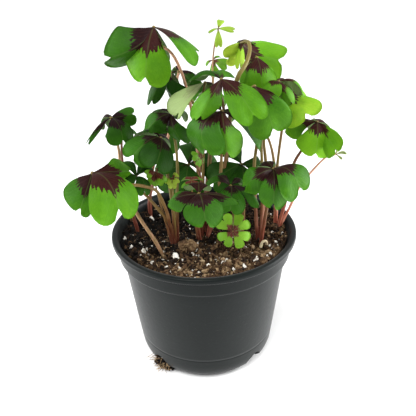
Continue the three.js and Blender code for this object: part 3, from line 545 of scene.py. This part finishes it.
# The mix and its loose pieces store "crumb": the tone and, for crumbs, a seed
def mix_material():
    g = Graph("potting_mix")
    tone = g.stored("crumb")[0]
    at = g.place()
    grit = g.noise(at, 700, 4, 0.65)
    clod = g.noise(at, 130)
    right, back, _ = g.parts(at)
    # Painted shade: the mix darkens towards the left and the back and lightens a little at the front
    # right
    painted_shade_side = g.add(g.sub(g.mul(right, 5), g.mul(back, 4)), g.mul(clod, 0.2))
    value = g.add(tone, g.swing(grit, 0.9), g.swing(clod, 0.7), g.span(painted_shade_side, -0.15, 0.35, -0.32, 0.03))
    colour = g.ramp(value, [
        (0, (0.003, 0.002, 0.0015)),
        (0.25, (0.018, 0.0095, 0.005)),
        (0.5, (0.088, 0.047, 0.022)),
        (0.75, (0.25, 0.165, 0.085)),
        (1, (0.52, 0.39, 0.24)),
    ])
    g.bump(g.add(grit, g.mul(g.noise(at, 2200, 2), 0.5)), 0.0006, 0.9)
    return g.finish(colour, 0.95, 0.2)


def perlite_material():
    g = Graph("perlite")
    at = g.place()
    stain = g.span(g.noise(at, 420), 0.5, 0.72)
    colour = g.mix(g.mul(stain, 0.7), (0.8, 0.77, 0.7), (0.3, 0.2, 0.11))
    g.bump(g.noise(at, 2600, 3, 0.6), 0.0004, 0.8)
    return g.finish(colour, 0.85, 0.2)


def fibre_material():
    g = Graph("peat_fibre")
    tone = g.stored("crumb")[0]
    colour = g.ramp(g.add(tone, g.mul(g.noise(g.place(), 300, 2), 0.3)), [
        (0, (0.05, 0.026, 0.013)),
        (0.6, (0.2, 0.12, 0.06)),
        (1, (0.42, 0.3, 0.17)),
    ])
    g.bump(g.noise(g.place(), 1800, 2), 0.0002, 0.6)
    return g.finish(colour, 0.9, 0.2)


def floor_material():
    g = Graph("floor")
    colour = g.mix(g.noise(g.place(), 6, 2), (0.9, 0.9, 0.9), (0.93, 0.93, 0.93))
    return g.finish(colour, 0.9, 0.1)


# Meshes
def new_object(name, data):
    made = bpy.data.objects.new(name, data)
    bpy.context.scene.collection.objects.link(made)
    return made


def new_solid(name, points, faces):
    """An object from points in millimetres."""
    mesh = bpy.data.meshes.new(name)
    mesh.from_pydata((np.asarray(points, float) * MM).tolist(), [], faces)
    return new_object(name, mesh)


def make_piece(name, points, faces, materials, slot, replaced, stored=None, kinds=None, smooth=True):
    """A piece of the plant or pot; stored is {attribute: one vector a point}."""
    piece = new_solid(name, points, faces)
    mesh = piece.data
    for material in materials:
        mesh.materials.append(material)
    if kinds is not None:
        mesh.polygons.foreach_set("material_index", np.asarray(kinds, np.int32))
    for key, values in (stored or {}).items():
        attribute = mesh.attributes.new(key, "FLOAT_VECTOR", "POINT")
        attribute.data.foreach_set("vector", np.asarray(values, np.float32).ravel())
    if smooth:
        mesh.shade_smooth()
    mesh.update()
    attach(piece, "root")
    if replaced:
        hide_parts(*replaced)
    return piece


class Heap:
    """Collects many small closed forms into one mesh."""

    def __init__(self):
        self.points = []
        self.faces = []
        self.kinds = []
        self.stored = []
        self.count = 0

    def add(self, points, faces, stored, kinds=0):
        """Adds a form; stored is one vector, or one for each point, and kinds likewise for faces."""
        self.points.append(np.asarray(points, float))
        self.faces.extend([tuple(int(i) + self.count for i in face) for face in faces])
        self.kinds.extend(np.broadcast_to(kinds, len(faces)).tolist())
        stored = np.asarray(stored, float)
        self.stored.append(np.broadcast_to(stored, (len(points), stored.shape[-1])))
        self.count += len(points)

    def piece(self, name, materials, slot, key, replaced=(), smooth=True):
        return make_piece(name, np.vstack(self.points), self.faces, materials, slot, replaced,
                          {key: np.vstack(self.stored)}, self.kinds, smooth)


def sphere_form(levels):
    form = bmesh.new()
    bmesh.ops.create_icosphere(form, subdivisions=levels, radius=1.0)
    points = np.array([v.co[:] for v in form.verts])
    faces = [tuple(v.index for v in face.verts) for face in form.faces]
    form.free()
    return points, faces


SPHERES = {levels: sphere_form(levels) for levels in (1, 2, 3)}


def rotation(i, j, turn):
    """A turn from axis i towards axis j."""
    matrix = np.eye(3)
    matrix[i, i] = matrix[j, j] = math.cos(turn)
    matrix[j, i] = math.sin(turn)
    matrix[i, j] = -math.sin(turn)
    return matrix


def random_turn(rng):
    a, b, c = (rng.random() * 2 * math.pi for _ in range(3))
    return rotation(0, 1, a) @ rotation(1, 2, b) @ rotation(2, 0, c)


def rough_stone(levels, size, rng, stretch, bumps):
    """An irregular lump about `size` in radius, turned at random."""
    points, faces = SPHERES[levels]
    shift = Vector((rng.random() * 50, rng.random() * 50, rng.random() * 50))
    push = [1 + bumps * 2 * noise.noise(Vector(p) * 1.3 + shift) for p in points]
    points = points * np.array(push)[:, None] * np.array(stretch) * size
    return points @ random_turn(rng).T, faces


def curve_points(path, count):
    """A smooth curve through points (centripetal Catmull-Rom), read at equal lengths."""
    path = [np.asarray(p, float) for p in path]
    last = len(path) - 1
    dense = []
    for k in range(last):
        p1, p2 = path[k], path[k + 1]
        p0 = path[k - 1] if k else 2 * p1 - p2
        p3 = path[k + 2] if k + 2 <= last else 2 * p2 - p1
        d0 = max(np.dot(p1 - p0, p1 - p0) ** 0.25, 1e-4)
        d1 = max(np.dot(p2 - p1, p2 - p1) ** 0.25, 1e-4)
        d2 = max(np.dot(p3 - p2, p3 - p2) ** 0.25, 1e-4)
        t1 = ((p1 - p0) / d0 - (p2 - p0) / (d0 + d1) + (p2 - p1) / d1) * d1
        t2 = ((p2 - p1) / d1 - (p3 - p1) / (d1 + d2) + (p3 - p2) / d2) * d1
        for w in np.linspace(0, 1, 24, endpoint=False):
            dense.append(p1 + t1 * w + (-3 * p1 + 3 * p2 - 2 * t1 - t2) * w ** 2
                         + (2 * p1 - 2 * p2 + t1 + t2) * w ** 3)
    dense.append(path[-1])
    dense = np.array(dense)
    lengths = np.concatenate([[0], np.cumsum(np.linalg.norm(np.diff(dense, axis=0), axis=1))])
    wanted = np.linspace(0, lengths[-1], count + 1)
    return np.stack([np.interp(wanted, lengths, dense[:, k]) for k in range(3)], axis=1)


def band(low, high, count):
    """Quads between two rings of points, whose numbers start at low and high."""
    nexts = [(k, (k + 1) % count) for k in range(count)]
    return [(low + k, low + n, high + n, high + k) for k, n in nexts]


def tube(points, radii, sides):
    """A closed round tube along points, with rounded ends."""
    count = len(points)
    tangents = np.gradient(points, axis=0)
    tangents /= np.linalg.norm(tangents, axis=1)[:, None]
    normal = np.cross(tangents[0], [0.3, 0.9, 0.1])
    normal /= np.linalg.norm(normal)
    turns = np.arange(sides) * 2 * math.pi / sides
    rings = []
    for k in range(count):
        normal = normal - tangents[k] * np.dot(normal, tangents[k])
        normal /= np.linalg.norm(normal)
        other = np.cross(tangents[k], normal)
        around = np.cos(turns)[:, None] * normal + np.sin(turns)[:, None] * other
        rings.append(points[k] + radii[k] * around)
    ends = [points[0] - tangents[0] * radii[0] * 0.6, points[-1] + tangents[-1] * radii[-1] * 0.6]
    faces = []
    for k in range(count - 1):
        faces += band(k * sides, (k + 1) * sides, sides)
    first, last = count * sides, count * sides + 1
    for j in range(sides):
        n = (j + 1) % sides
        faces.append((first, n, j))
        faces.append((last, (count - 1) * sides + j, (count - 1) * sides + n))
    return np.vstack(rings + [ends]), faces


def thread(path, steps, first, last):
    """A thin tube along a path, whose radius goes from first to last."""
    return tube(curve_points(path, steps), np.linspace(first, last, steps + 1), 5)


def tube_values(share, sides, tint, pink):
    """What a stalk stores for the points of its tube and both ends."""
    ups = np.concatenate([np.repeat(share, sides), [0, 1]])
    return np.stack([ups, np.full(len(ups), tint), np.full(len(ups), pink)], axis=1)


# Blades
def blade_outline(half, notch, count):
    """The whole outline from one side of the hub round the notch to the other, as a smooth curve."""
    points = [(a, -b) for a, b in half] + [(notch, 0)] + [(a, b) for a, b in half[::-1]]
    points = np.array(points, float)
    padded = np.vstack([2 * points[0] - points[1], points, 2 * points[-1] - points[-2]])
    spans = len(points) - 1
    made = []
    for i in range(count + 1):
        place = i / count * spans
        k = min(int(place), spans - 1)
        f = place - k
        p0, p1, p2, p3 = padded[k:k + 4]
        made.append(0.5 * (2 * p1 + (p2 - p0) * f + (2 * p0 - 5 * p1 + 4 * p2 - p3) * f * f
                           + (3 * p1 - p0 - 3 * p2 + p3) * f ** 3))
    return np.array(made)


def leaf_axis(leaf):
    if "axis" in leaf:
        return unit(leaf["axis"])
    tips = [np.array(row[:3], float) for row in leaf["leaflets"]]
    axis = unit(sum(np.cross(tip, tips[(i + 1) % len(tips)]) for i, tip in enumerate(tips)))
    return -axis if axis[2] < 0 else axis


def leaflet_grid(hub, axis, row, outline, rows, rng):
    """Points of a leaflet's middle sheet: rows from the hub out, columns across."""
    rib = np.array(row[:3], float)
    width, fold, roll, rise, lean = row[3:]
    length = np.linalg.norm(rib)
    rib /= length
    fold, roll = math.radians(fold), math.radians(roll)
    face = unit(axis - rib * np.dot(axis, rib))
    side = np.cross(face, rib)
    face, side = (face * math.cos(roll) + side * math.sin(roll),
                  side * math.cos(roll) - face * math.sin(roll))
    shares = APEX_REACH / length + (1 - APEX_REACH / length) * np.linspace(0, 1, rows + 1) ** 0.85
    shares = shares[:, None]
    across = shares * outline[None, :, 1]
    along = shares * outline[None, :, 0] + lean / 100 * across
    slope = 4 * rise * (1 - 2 * along) / length
    up = face[None, None] - rib[None, None] * slope[..., None]
    up /= np.linalg.norm(up, axis=2)[..., None]
    reach = across * (width / 100) * length
    # Both halves fall away from the rib, and the margin has slight waves
    soft = 0.06 * length
    fall = math.sin(fold) * (np.hypot(reach, soft) - soft) + 0.25 * reach ** 2 / length
    phase = rng.random() * 6.28
    ripple = np.sin(outline[None, :, 1] * 9 + outline[None, :, 0] * 5 + phase)
    wave = 0.028 * length * shares ** 2 * ripple
    fall = fall - wave * np.minimum(1, np.abs(across) / 0.18)
    arch = 4 * rise * along * (1 - along)
    points = (hub + rib * (length * along)[..., None] + face * arch[..., None]
              + side * (reach * math.cos(fold))[..., None] - up * fall[..., None])
    return points, along, across, shares


def add_leaflet(heap, grid, tone, seed, mark):
    """Gives a leaflet's sheet its thickness: upper side, lower side and margin."""
    points, along, across, shares = grid
    rows, columns = along.shape
    normal = np.cross(np.gradient(points, axis=0), np.gradient(points, axis=1))
    normal /= np.maximum(np.linalg.norm(normal, axis=2), 1e-9)[..., None]
    half = (BLADE_HALF_THICKNESS * (1 - 0.45 * shares ** 8))[..., None]
    sides = (points + normal * half, points - normal * half)
    verts = np.vstack([side.reshape(-1, 3) for side in sides])
    below = rows * columns
    index = np.arange(below).reshape(rows, columns)
    corners = (index[:-1, :-1], index[1:, :-1], index[1:, 1:], index[:-1, 1:])
    top = np.stack([corner.ravel() for corner in corners], axis=1).tolist()
    bottom = [[below + i for i in quad[::-1]] for quad in top]
    rim = [*index[:, 0], *index[-1, 1:], *index[-2::-1, -1], *index[0, -2:0:-1]]
    edge = [(a, b, below + b, below + a) for a, b in zip(rim, rim[1:] + rim[:1])]
    blade = np.stack([along.ravel(), across.ravel(), np.full(along.size, tone)], axis=1)
    stored = np.hstack([np.vstack([blade, blade]), np.tile([seed, mark, 0], (len(verts), 1))])
    kinds = [0] * len(top) + [1] * len(bottom) + [0] * len(edge)
    heap.add(verts, top + bottom + edge, stored, kinds)


def blade_piece(name, leaf, materials):
    rng = draws(name)
    young = leaf.get("young", False)
    hub = np.array(leaf["hub"], float)
    half, columns, rows = (YOUNG_HALF_OUTLINE, 20, 7) if young else (HALF_OUTLINE, 30, 13)
    outline = blade_outline(half, leaf.get("notch", 0.97), columns)
    tones = leaf.get("tones", [leaf["tone"]] * 4)
    marks = leaf.get("marks", [leaf.get("mark", 0.42 if young else 0.56)] * 4)
    rest = YOUNG_LEAFLET_REST if young else LEAFLET_REST
    heap = Heap()
    for row, tone, mark in zip(leaf["leaflets"], tones, marks):
        grid = leaflet_grid(hub, leaf_axis(leaf), row + rest[len(row) - 4:], outline, rows, rng)
        tone = tone + (rng.random() - 0.5) * 0.06
        mark = mark + (rng.random() - 0.5) * 0.05
        add_leaflet(heap, grid, tone, rng.random() * 40, mark)
    knob, faces = SPHERES[2]
    knob = knob * np.array([0.95, 0.95, 0.8]) * (0.55 if young else 1.0) + hub
    heap.add(knob, faces, [0.0, 0.3, leaf["tone"], 1.0, 0.0, 0.0], 2)
    stored = np.vstack(heap.stored)
    slot = "young_leaf" if young or leaf.get("lime") else "shaded_leaf" if leaf.get("shade") else "leaf"
    make_piece(name + "_blade", np.vstack(heap.points), heap.faces, materials, slot, [name],
               {"blade": stored[:, :3], "leaflet": stored[:, 3:],
                "stalk": np.tile([0.9, 0.6, 0.2], (heap.count, 1))}, heap.kinds)


# Stalks
def stalk_path(leaf, clump):
    """From the clump's crown through the surface of the mix and up to the hub."""
    at = np.array(clump["at"], float)
    aside = np.array(leaf["stalk"][0][:2], float) - at
    distance = np.linalg.norm(aside)
    x, y = at + aside / max(distance, 1e-6) * clump["spread"] * min(1, distance / 10)
    path = [(x, y, HOLE_BOTTOM + CROWN_HEIGHT / 2), (x, y, MIX_LEVEL - 3), *leaf["stalk"]]
    hub = np.array(leaf["hub"], float)
    if leaf.get("hook"):
        return path + [hub + unit(np.array(path[-1], float) - hub) * STALK_END]
    axis = leaf_axis(leaf)
    return path + [hub - axis * (4 if leaf.get("young") else 8), hub - axis * STALK_END]


def stalks_piece(name, clump, material):
    heap = Heap()
    rng = draws(name)
    share = np.linspace(0, 1, STALK_STEPS + 1)
    for leaf_name in clump["leaves"]:
        leaf = LEAVES[leaf_name]
        slim = (0.6 if leaf.get("young") else 1.0) * leaf.get("stout", 1.0)
        radii = slim * (STALK_FOOT_RADIUS + (STALK_TOP_RADIUS - STALK_FOOT_RADIUS) * share)
        radii = radii * (1 + 0.05 * np.sin(share * 31 + rng.random() * 6))
        form = tube(curve_points(stalk_path(leaf, clump), STALK_STEPS), radii, STALK_SIDES)
        tint = leaf.get("tint", 0.4 + 0.3 * rng.random())
        heap.add(*form, tube_values(share, STALK_SIDES, tint, leaf.get("pink", 0.15)))
    radius = clump["spread"] + STALK_FOOT_RADIUS
    crown, faces = SPHERES[2]
    crown = crown * np.array([radius, radius, 2.0])
    heap.add(crown + np.array([*clump["at"], HOLE_BOTTOM + CROWN_HEIGHT / 2]), faces, [0.0, 0.3, 0.2])
    heap.piece(name + "_fine", [material], "stalk", "stalk", [name])


def make_shoot(material):
    share = np.linspace(0, 1, 27)
    radii = 0.95 - 0.25 * share + 0.18 * np.exp(-((share - 0.97) / 0.08) ** 2)
    form = tube(curve_points(SHOOT_PATH, 26), radii, 12)
    make_piece("hooked_shoot_fine", *form, [material], "pale_shoot", ["hooked_shoot"],
               {"stalk": tube_values(share, 12, 0.5, 2.0)})


# Pot
def lathe(profile, sectors):
    """A closed form turned around the pot's axis; both ends of the profile are on the axis."""
    verts, faces, rings = [], [], []
    for radius, z in profile:
        if radius < 1e-6:
            rings.append([len(verts)] * sectors)
            verts.append((0, 0, z))
        else:
            rings.append([len(verts) + k for k in range(sectors)])
            verts += ring_points(radius, z, sectors)
    for low, high in zip(rings[:-1], rings[1:]):
        for k in range(sectors):
            n = (k + 1) % sectors
            faces.append(tuple(dict.fromkeys((low[k], low[n], high[n], high[k]))))
    return verts, faces


def pot_profile():
    """Radius and height around the wall: out along the foot, up, over the lip and down inside."""
    lip = POT_HEIGHT - LIP_HEIGHT
    collar = POT_HEIGHT - COLLAR_DROP
    bead = 16

    def wall(z):
        rise = (z - CORNER_HEIGHT) / (collar - 0.6 - CORNER_HEIGHT)
        return WALL_RADIUS_LOW + (WALL_RADIUS_TOP - WALL_RADIUS_LOW) * rise

    def near(radius, z, steps):
        return [(radius + across, z + up) for across, up in steps]

    foot = near(FOOT_RADIUS, 0, [(-0.7, 0), (0, 0.15), (1, 0.7), (2.2, 1.8), (3.3, 3)])
    corner = near(WALL_RADIUS_LOW, 0, [(-1.2, 4.4), (-0.6, 6), (0, CORNER_HEIGHT)])
    side = [(wall(z), z) for z in (11, bead - 1.2, bead - 0.5)]
    side += near(wall(bead), bead, [(-0.12, -0.25), (-0.12, 0.05), (0.1, 0.35)])
    side += [(wall(z) + 0.06, z) for z in (18, 26, 36, 46, 56, 64, 69)]
    side += near(WALL_RADIUS_TOP, collar, [(0, -1.2), (0.2, -0.75)])
    side += near(COLLAR_RADIUS, collar,
                 [(-1.4, -0.35), (-1, -0.1), (-0.75, 0.35), (-0.68, 1.2), (-0.35, 5)])
    side += near(COLLAR_RADIUS, lip, [(-0.05, -1.4), (0.1, -0.7), (0.7, -0.2)])
    rim = near(RIM_RADIUS, lip, [(-1.2, -0.05), (-0.5, 0.12), (-0.12, 0.5), (0, 1.1)])
    rim += near(RIM_RADIUS, POT_HEIGHT,
                [(0, -1.5), (-0.12, -0.8), (-0.45, -0.3), (-1, 0), (-2.2, -0.05)])
    inside = near(COLLAR_RADIUS - WALL, POT_HEIGHT, [(0.9, -0.3), (0.35, -0.9), (0, -LIP_HEIGHT)])
    inside += [(WALL_RADIUS_TOP - WALL, collar - 2), (WALL_RADIUS_LOW - WALL, CORNER_HEIGHT + 1),
               (FOOT_RADIUS, WALL + 0.4), (0, WALL + 0.4)]
    return [(0, 0), (20, 0)] + foot + corner + side + rim + inside


def cutter(radius, height, low, high, degrees, sides):
    """A closed round bar that points outwards at the pot's foot."""
    out, aside = heading_and_side(degrees)
    verts = []
    for reach in (low, high):
        for across, up, _ in ring_points(1, 0, sides):
            verts.append(out * reach + aside * radius * across + np.array([0, 0, height * up]))
    faces = [tuple(range(sides))[::-1], tuple(range(sides, 2 * sides)), *band(0, sides, sides)]
    return new_solid("cutter", verts, faces)


def make_pot(material):
    verts, faces = lathe(pot_profile(), POT_SECTORS)
    pot = make_piece("pot_shell", verts, faces, [material], "pot_plastic", ["pot"])
    tools = [cutter(SLOT_HALF_WIDTH, SLOT_HEIGHT, FOOT_RADIUS - 4, FOOT_RADIUS + 12, angle, 40)
             for angle in SLOT_ANGLES]
    tools += [cutter(NOTCH_RADIUS, NOTCH_RADIUS, FOOT_RADIUS - 1.5, FOOT_RADIUS + 5.5, angle, 20)
              for angle in NOTCH_ANGLES]
    for tool in tools:
        cut = pot.modifiers.new("cut", "BOOLEAN")
        cut.operation = "DIFFERENCE"
        cut.solver = "EXACT"
        cut.object = tool
    bpy.context.view_layer.update()
    ready = bpy.data.meshes.new_from_object(pot.evaluated_get(bpy.context.evaluated_depsgraph_get()))
    pot.modifiers.clear()
    pot.data = ready
    for tool in tools:
        bpy.data.objects.remove(tool)
    ready.shade_smooth()
    ready.set_sharp_from_angle(angle=math.radians(38))


# Potting mix
def mix_height(x, y):
    """The surface with its hollows and the hill in front."""
    def hill(cx, cy, reach, height):
        return height * np.exp(-((x - cx) ** 2 + (y - cy) ** 2) / reach ** 2)
    waves = 0.9 * np.sin(x * 0.31 + 1) * np.cos(y * 0.27) + 0.7 * np.sin(x * 0.17 - y * 0.23 + 2)
    return (MIX_LEVEL + 0.02 * x - 0.01 * y + waves - hill(-30, 12, 15, 5) - hill(22, 6, 10, 4)
            + hill(-8, -20, 6, 2))


def mix_top(x, y):
    """The surface with its clods and grains."""
    height = float(mix_height(x, y))
    for scale, depth, amount in ((0.22, 3.0, 1.3), (0.7, 9.0, 0.9), (1.8, 5.0, 0.35)):
        height += amount * noise.noise(Vector((x * scale, y * scale, depth)))
    return height


def make_mix(material):
    sectors = 220
    rings = 74
    edge = COLLAR_RADIUS - WALL - GAP * 4
    inset = WALL + GAP * 1.5
    verts = [(0, 0, WALL + 0.4 + GAP)]
    for radius, z in ((FOOT_RADIUS - GAP * 2, WALL + 0.4), (WALL_RADIUS_LOW - inset, CORNER_HEIGHT + 1),
                      (WALL_RADIUS_TOP - inset, POT_HEIGHT - COLLAR_DROP - 2)):
        verts += ring_points(radius, z + GAP, sectors)
    for i in range(rings, 0, -1):
        drop = 0.5 if i == rings else 0
        for x, y, _ in ring_points(edge * (i / rings) ** 0.9, 0, sectors, 0.5 * (i % 2)):
            verts.append((x, y, mix_top(x, y) - drop))
    verts.append((0, 0, mix_top(0, 0)))

    def at(i, k):
        return 1 + i * sectors + k % sectors

    faces = []
    top = rings + 2
    for k in range(sectors):
        faces.append((0, at(0, k + 1), at(0, k)))
        for i in range(top):
            faces.append((at(i, k), at(i, k + 1), at(i + 1, k + 1), at(i + 1, k)))
        faces.append((at(top, k), at(top, k + 1), len(verts) - 1))
    # Painted light and shade: the surface is lighter towards the front, and the hidden sides and bottom
    # are dark so that the slots look black inside
    tones = [[0.2 + 0.16 * min(1, max(0, -y / 30)) if z > 70 else -0.3, 0, 0] for x, y, z in verts]
    make_piece("mix_body", verts, faces, [material], "potting_mix", ["potting_mix"], {"crumb": tones})


def spot(rng, reach):
    """A random place on the mix."""
    turn = rng.random() * 2 * math.pi
    r = reach * math.sqrt(rng.random())
    return r * math.cos(turn), r * math.sin(turn)


def lay(heap, form, x, y, lift, stored):
    """Lays a small form on the mix, its middle raised by lift."""
    points, faces = form
    heap.add(points + np.array([x, y, mix_top(x, y) + lift]), faces, stored)


def make_crumbs(material):
    rng = draws(5)
    heap = Heap()
    for _ in range(5200):
        x, y = spot(rng, 51)
        size = 0.32 + 1.3 * rng.random() ** 3.2
        crumb = rough_stone(1, size, rng, (1 + rng.random() * 0.6, 0.85, 0.7), 0.4)
        # Painted light: crumbs are lighter towards the front
        front = 0.18 * min(1, max(0, (8 - y) / 40))
        tone = 0.1 + front + 0.5 * rng.random() ** 1.4 + (0.25 if rng.random() < 0.08 else 0)
        lay(heap, crumb, x, y, size * 0.3, [tone, rng.random(), 0])
    for _ in range(110):
        x, y = spot(rng, 51)
        size = 1.3 + 1.3 * rng.random() ** 2
        lump = rough_stone(2, size, rng, (1.2, 0.95, 0.62), 0.5)
        tone = 0.16 + 0.3 * rng.random()
        lay(heap, lump, x, y, size * 0.1, [tone, rng.random(), 0])
    heap.piece("mix_crumbs", [material], "potting_mix", "crumb", smooth=False)


def make_perlite(material):
    rng = draws(8)
    heap = Heap()
    grains = [(x, y, size, 2) for x, y, size in LARGE_PERLITE]
    while len(grains) < 420:
        x, y = spot(rng, 50)
        if rng.random() < 0.4 and y > -10:
            continue
        grains.append((x, y, 0.2 + 0.8 * rng.random() ** 3, 1))
    for x, y, size, levels in grains:
        grain = rough_stone(levels, size * 0.85, rng, (1.3, 0.9, 0.75), 0.5)
        lay(heap, grain, x, y, size * 0.5, [0.5, 0, 0])
    heap.piece("perlite", [material], "potting_mix", "crumb", smooth=False)


def strand(rng, start, heading, length, bend, steps=7):
    """A path that wanders off in a heading."""
    points = [np.array(start, float)]
    heading = unit(heading)
    for _ in range(steps):
        heading = unit(heading + np.array([rng.uniform(-bend, bend) for _ in range(3)]))
        points.append(points[-1] + heading * length / steps)
    return np.array(points)


def make_fibres(material):
    rng = draws(21)
    heap = Heap()
    for _ in range(260):
        x, y = spot(rng, 48)
        turn = rng.random() * 2 * math.pi
        length = 2.5 + 8 * rng.random() ** 2
        points = strand(rng, (x, y, 0), (math.cos(turn), math.sin(turn), 0), length, 0.3)
        radius = 0.12 + 0.16 * rng.random()
        reach = np.hypot(points[:, 0], points[:, 1])
        points[:, :2] *= np.minimum(1, 51 / np.maximum(reach, 1))[:, None]
        points[:, 2] = [mix_top(px, py) + radius + 0.35 * rng.random() for px, py in points[:, :2]]
        heap.add(*thread(points, 12, radius, radius), [rng.random(), 0, 0])
    heap.piece("mix_fibres", [material], "potting_mix", "crumb")


def make_bark(material):
    """The brown lump in front of the plant, with ragged sides."""
    rng = draws(3)
    points, faces = SPHERES[3]
    shift = Vector((4, 1, 7))
    made = []
    for p in points:
        at = Vector(p)
        push = 1 + 0.5 * noise.noise(at * 1.6 + shift) + 0.22 * noise.noise(at * 5)
        made.append(np.array(p) * push * np.array([5.0, 4.0, 4.2]))
    heap = Heap()
    base = np.array([-9.5, -21, float(mix_height(-10, -20)) + 2.2])
    heap.add(np.array(made) + base, faces, [0.62, 0, 0])
    for _ in range(26):
        turn = rng.random() * 2 * math.pi
        start = base + np.array([3.6 * math.cos(turn), 2.9 * math.sin(turn), rng.uniform(-0.5, 2.2)])
        heading = (math.cos(turn), math.sin(turn), rng.uniform(-0.6, 0.5))
        points = strand(rng, start, heading, 1.5 + 3 * rng.random(), 0.5)
        heap.add(*thread(points, 8, 0.16, 0.16), [0.75, 0, 0])
    heap.piece("bark_lump", [material], "potting_mix", "crumb", smooth=False)


def make_tuft(mix, fibre):
    """Crumbs and fine roots in the slot at the front left."""
    rng = draws(31)
    heap = Heap()
    out, aside = heading_and_side(TUFT_ANGLE)
    up = np.array([0, 0, 1])
    for _ in range(170):
        across = rng.gauss(0.3, 3.8)
        reach = 37 + 6.5 * rng.random() ** 1.5 - 0.03 * across ** 2
        z = 2.9 + rng.gauss(0, 0.8) - 0.3 * (reach - 38) - 0.15 * across
        size = 0.5 + 1.2 * rng.random() ** 2
        points, faces = rough_stone(1, size, rng, (1.2, 0.9, 0.8), 0.4)
        place = out * reach + aside * across + up * max(z, size + 0.2)
        heap.add(points + place, faces, [0.3 * rng.random(), 0, 0], 0)
    for _ in range(70):
        across = rng.gauss(0, 2.8)
        start = out * 40 + aside * across + up * (3.2 - 0.2 * across + rng.gauss(0, 0.7))
        heading = out * rng.uniform(0.3, 1) + aside * rng.gauss(0, 0.9) + up * rng.uniform(-0.7, 0.2)
        points = strand(rng, start, heading, 4 + 6 * rng.random(), 0.3)
        points[:, 2] = np.maximum(points[:, 2], 0.6)
        heap.add(*thread(points, 12, 0.2, 0.09), [rng.random(), 0, 0], 1)
    heap.piece("root_tuft", [mix, fibre], "potting_mix", "crumb", smooth=False)


# Stage
def make_floor():
    r, z = FLOOR_REACH, FLOOR_LEVEL
    floor = new_solid("floor", [(-r, -r, z), (r, -r, z), (r, r, z), (-r, r, z)], [(0, 1, 2, 3)])
    floor.data.materials.append(floor_material())


def add_lamp(light, heading, place=(0, 0, 0)):
    lamp = new_object(light.name, light)
    lamp.location = place
    lamp.rotation_euler = Vector(heading).to_track_quat("-Z", "Y").to_euler()


def make_lights():
    scene = bpy.context.scene
    scene.world = bpy.data.worlds.new("world")
    scene.world.use_nodes = True
    sky = scene.world.node_tree.nodes["Background"]
    sky.inputs["Color"].default_value = (1, 1, 1, 1)
    sky.inputs["Strength"].default_value = WORLD_LIGHT
    sun = bpy.data.lights.new("sun", "SUN")
    sun.energy = SUN_LIGHT
    sun.angle = math.radians(SUN_ANGLE)
    add_lamp(sun, SUN_HEADING)
    for name, (x, energy) in SIDE_LIGHTS.items():
        light = bpy.data.lights.new(name, "AREA")
        light.shape = "RECTANGLE"
        light.size, light.size_y = SIDE_LIGHT_SIZE
        light.energy = energy
        place = Vector((x, *SIDE_LIGHT_PLACE))
        add_lamp(light, Vector(SIDE_LIGHT_AIM) - place, place)
    scene.view_settings.view_transform = "Standard"
    scene.view_settings.look = "None"


def make_camera():
    camera = bpy.data.cameras.new("camera")
    camera.sensor_width = 36
    camera.lens = CAMERA_LENS
    camera.clip_start = 0.01
    place = Vector(CAMERA_PLACE)
    look = (Vector(CAMERA_AIM) - place).to_track_quat("-Z", "Y").to_matrix().to_4x4()
    roll = Matrix.Rotation(math.radians(CAMERA_ROLL), 4, "Z")
    eye = new_object("camera", camera)
    eye.matrix_world = Matrix.Translation(place) @ look @ roll
    bpy.context.scene.camera = eye


make_floor()
make_lights()
make_camera()
POT = pot_material()
MIX = mix_material()
STALK = stalk_material()
BLADE = [leaf_upper(), leaf_under(), STALK]
YOUNG_BLADE = [young_upper(), BLADE[1], STALK]
FIBRE = fibre_material()
make_pot(POT)
make_mix(MIX)
make_crumbs(MIX)
make_perlite(perlite_material())
make_fibres(FIBRE)
make_bark(MIX)
make_tuft(MIX, FIBRE)
make_shoot(shoot_material())
for clump_name, clump in CLUMPS.items():
    stalks_piece(clump_name, clump, STALK)
for leaf_name, leaf in LEAVES.items():
    blade_piece(leaf_name, leaf, YOUNG_BLADE if leaf.get("young") else BLADE)

bpy.context.view_layer.update()
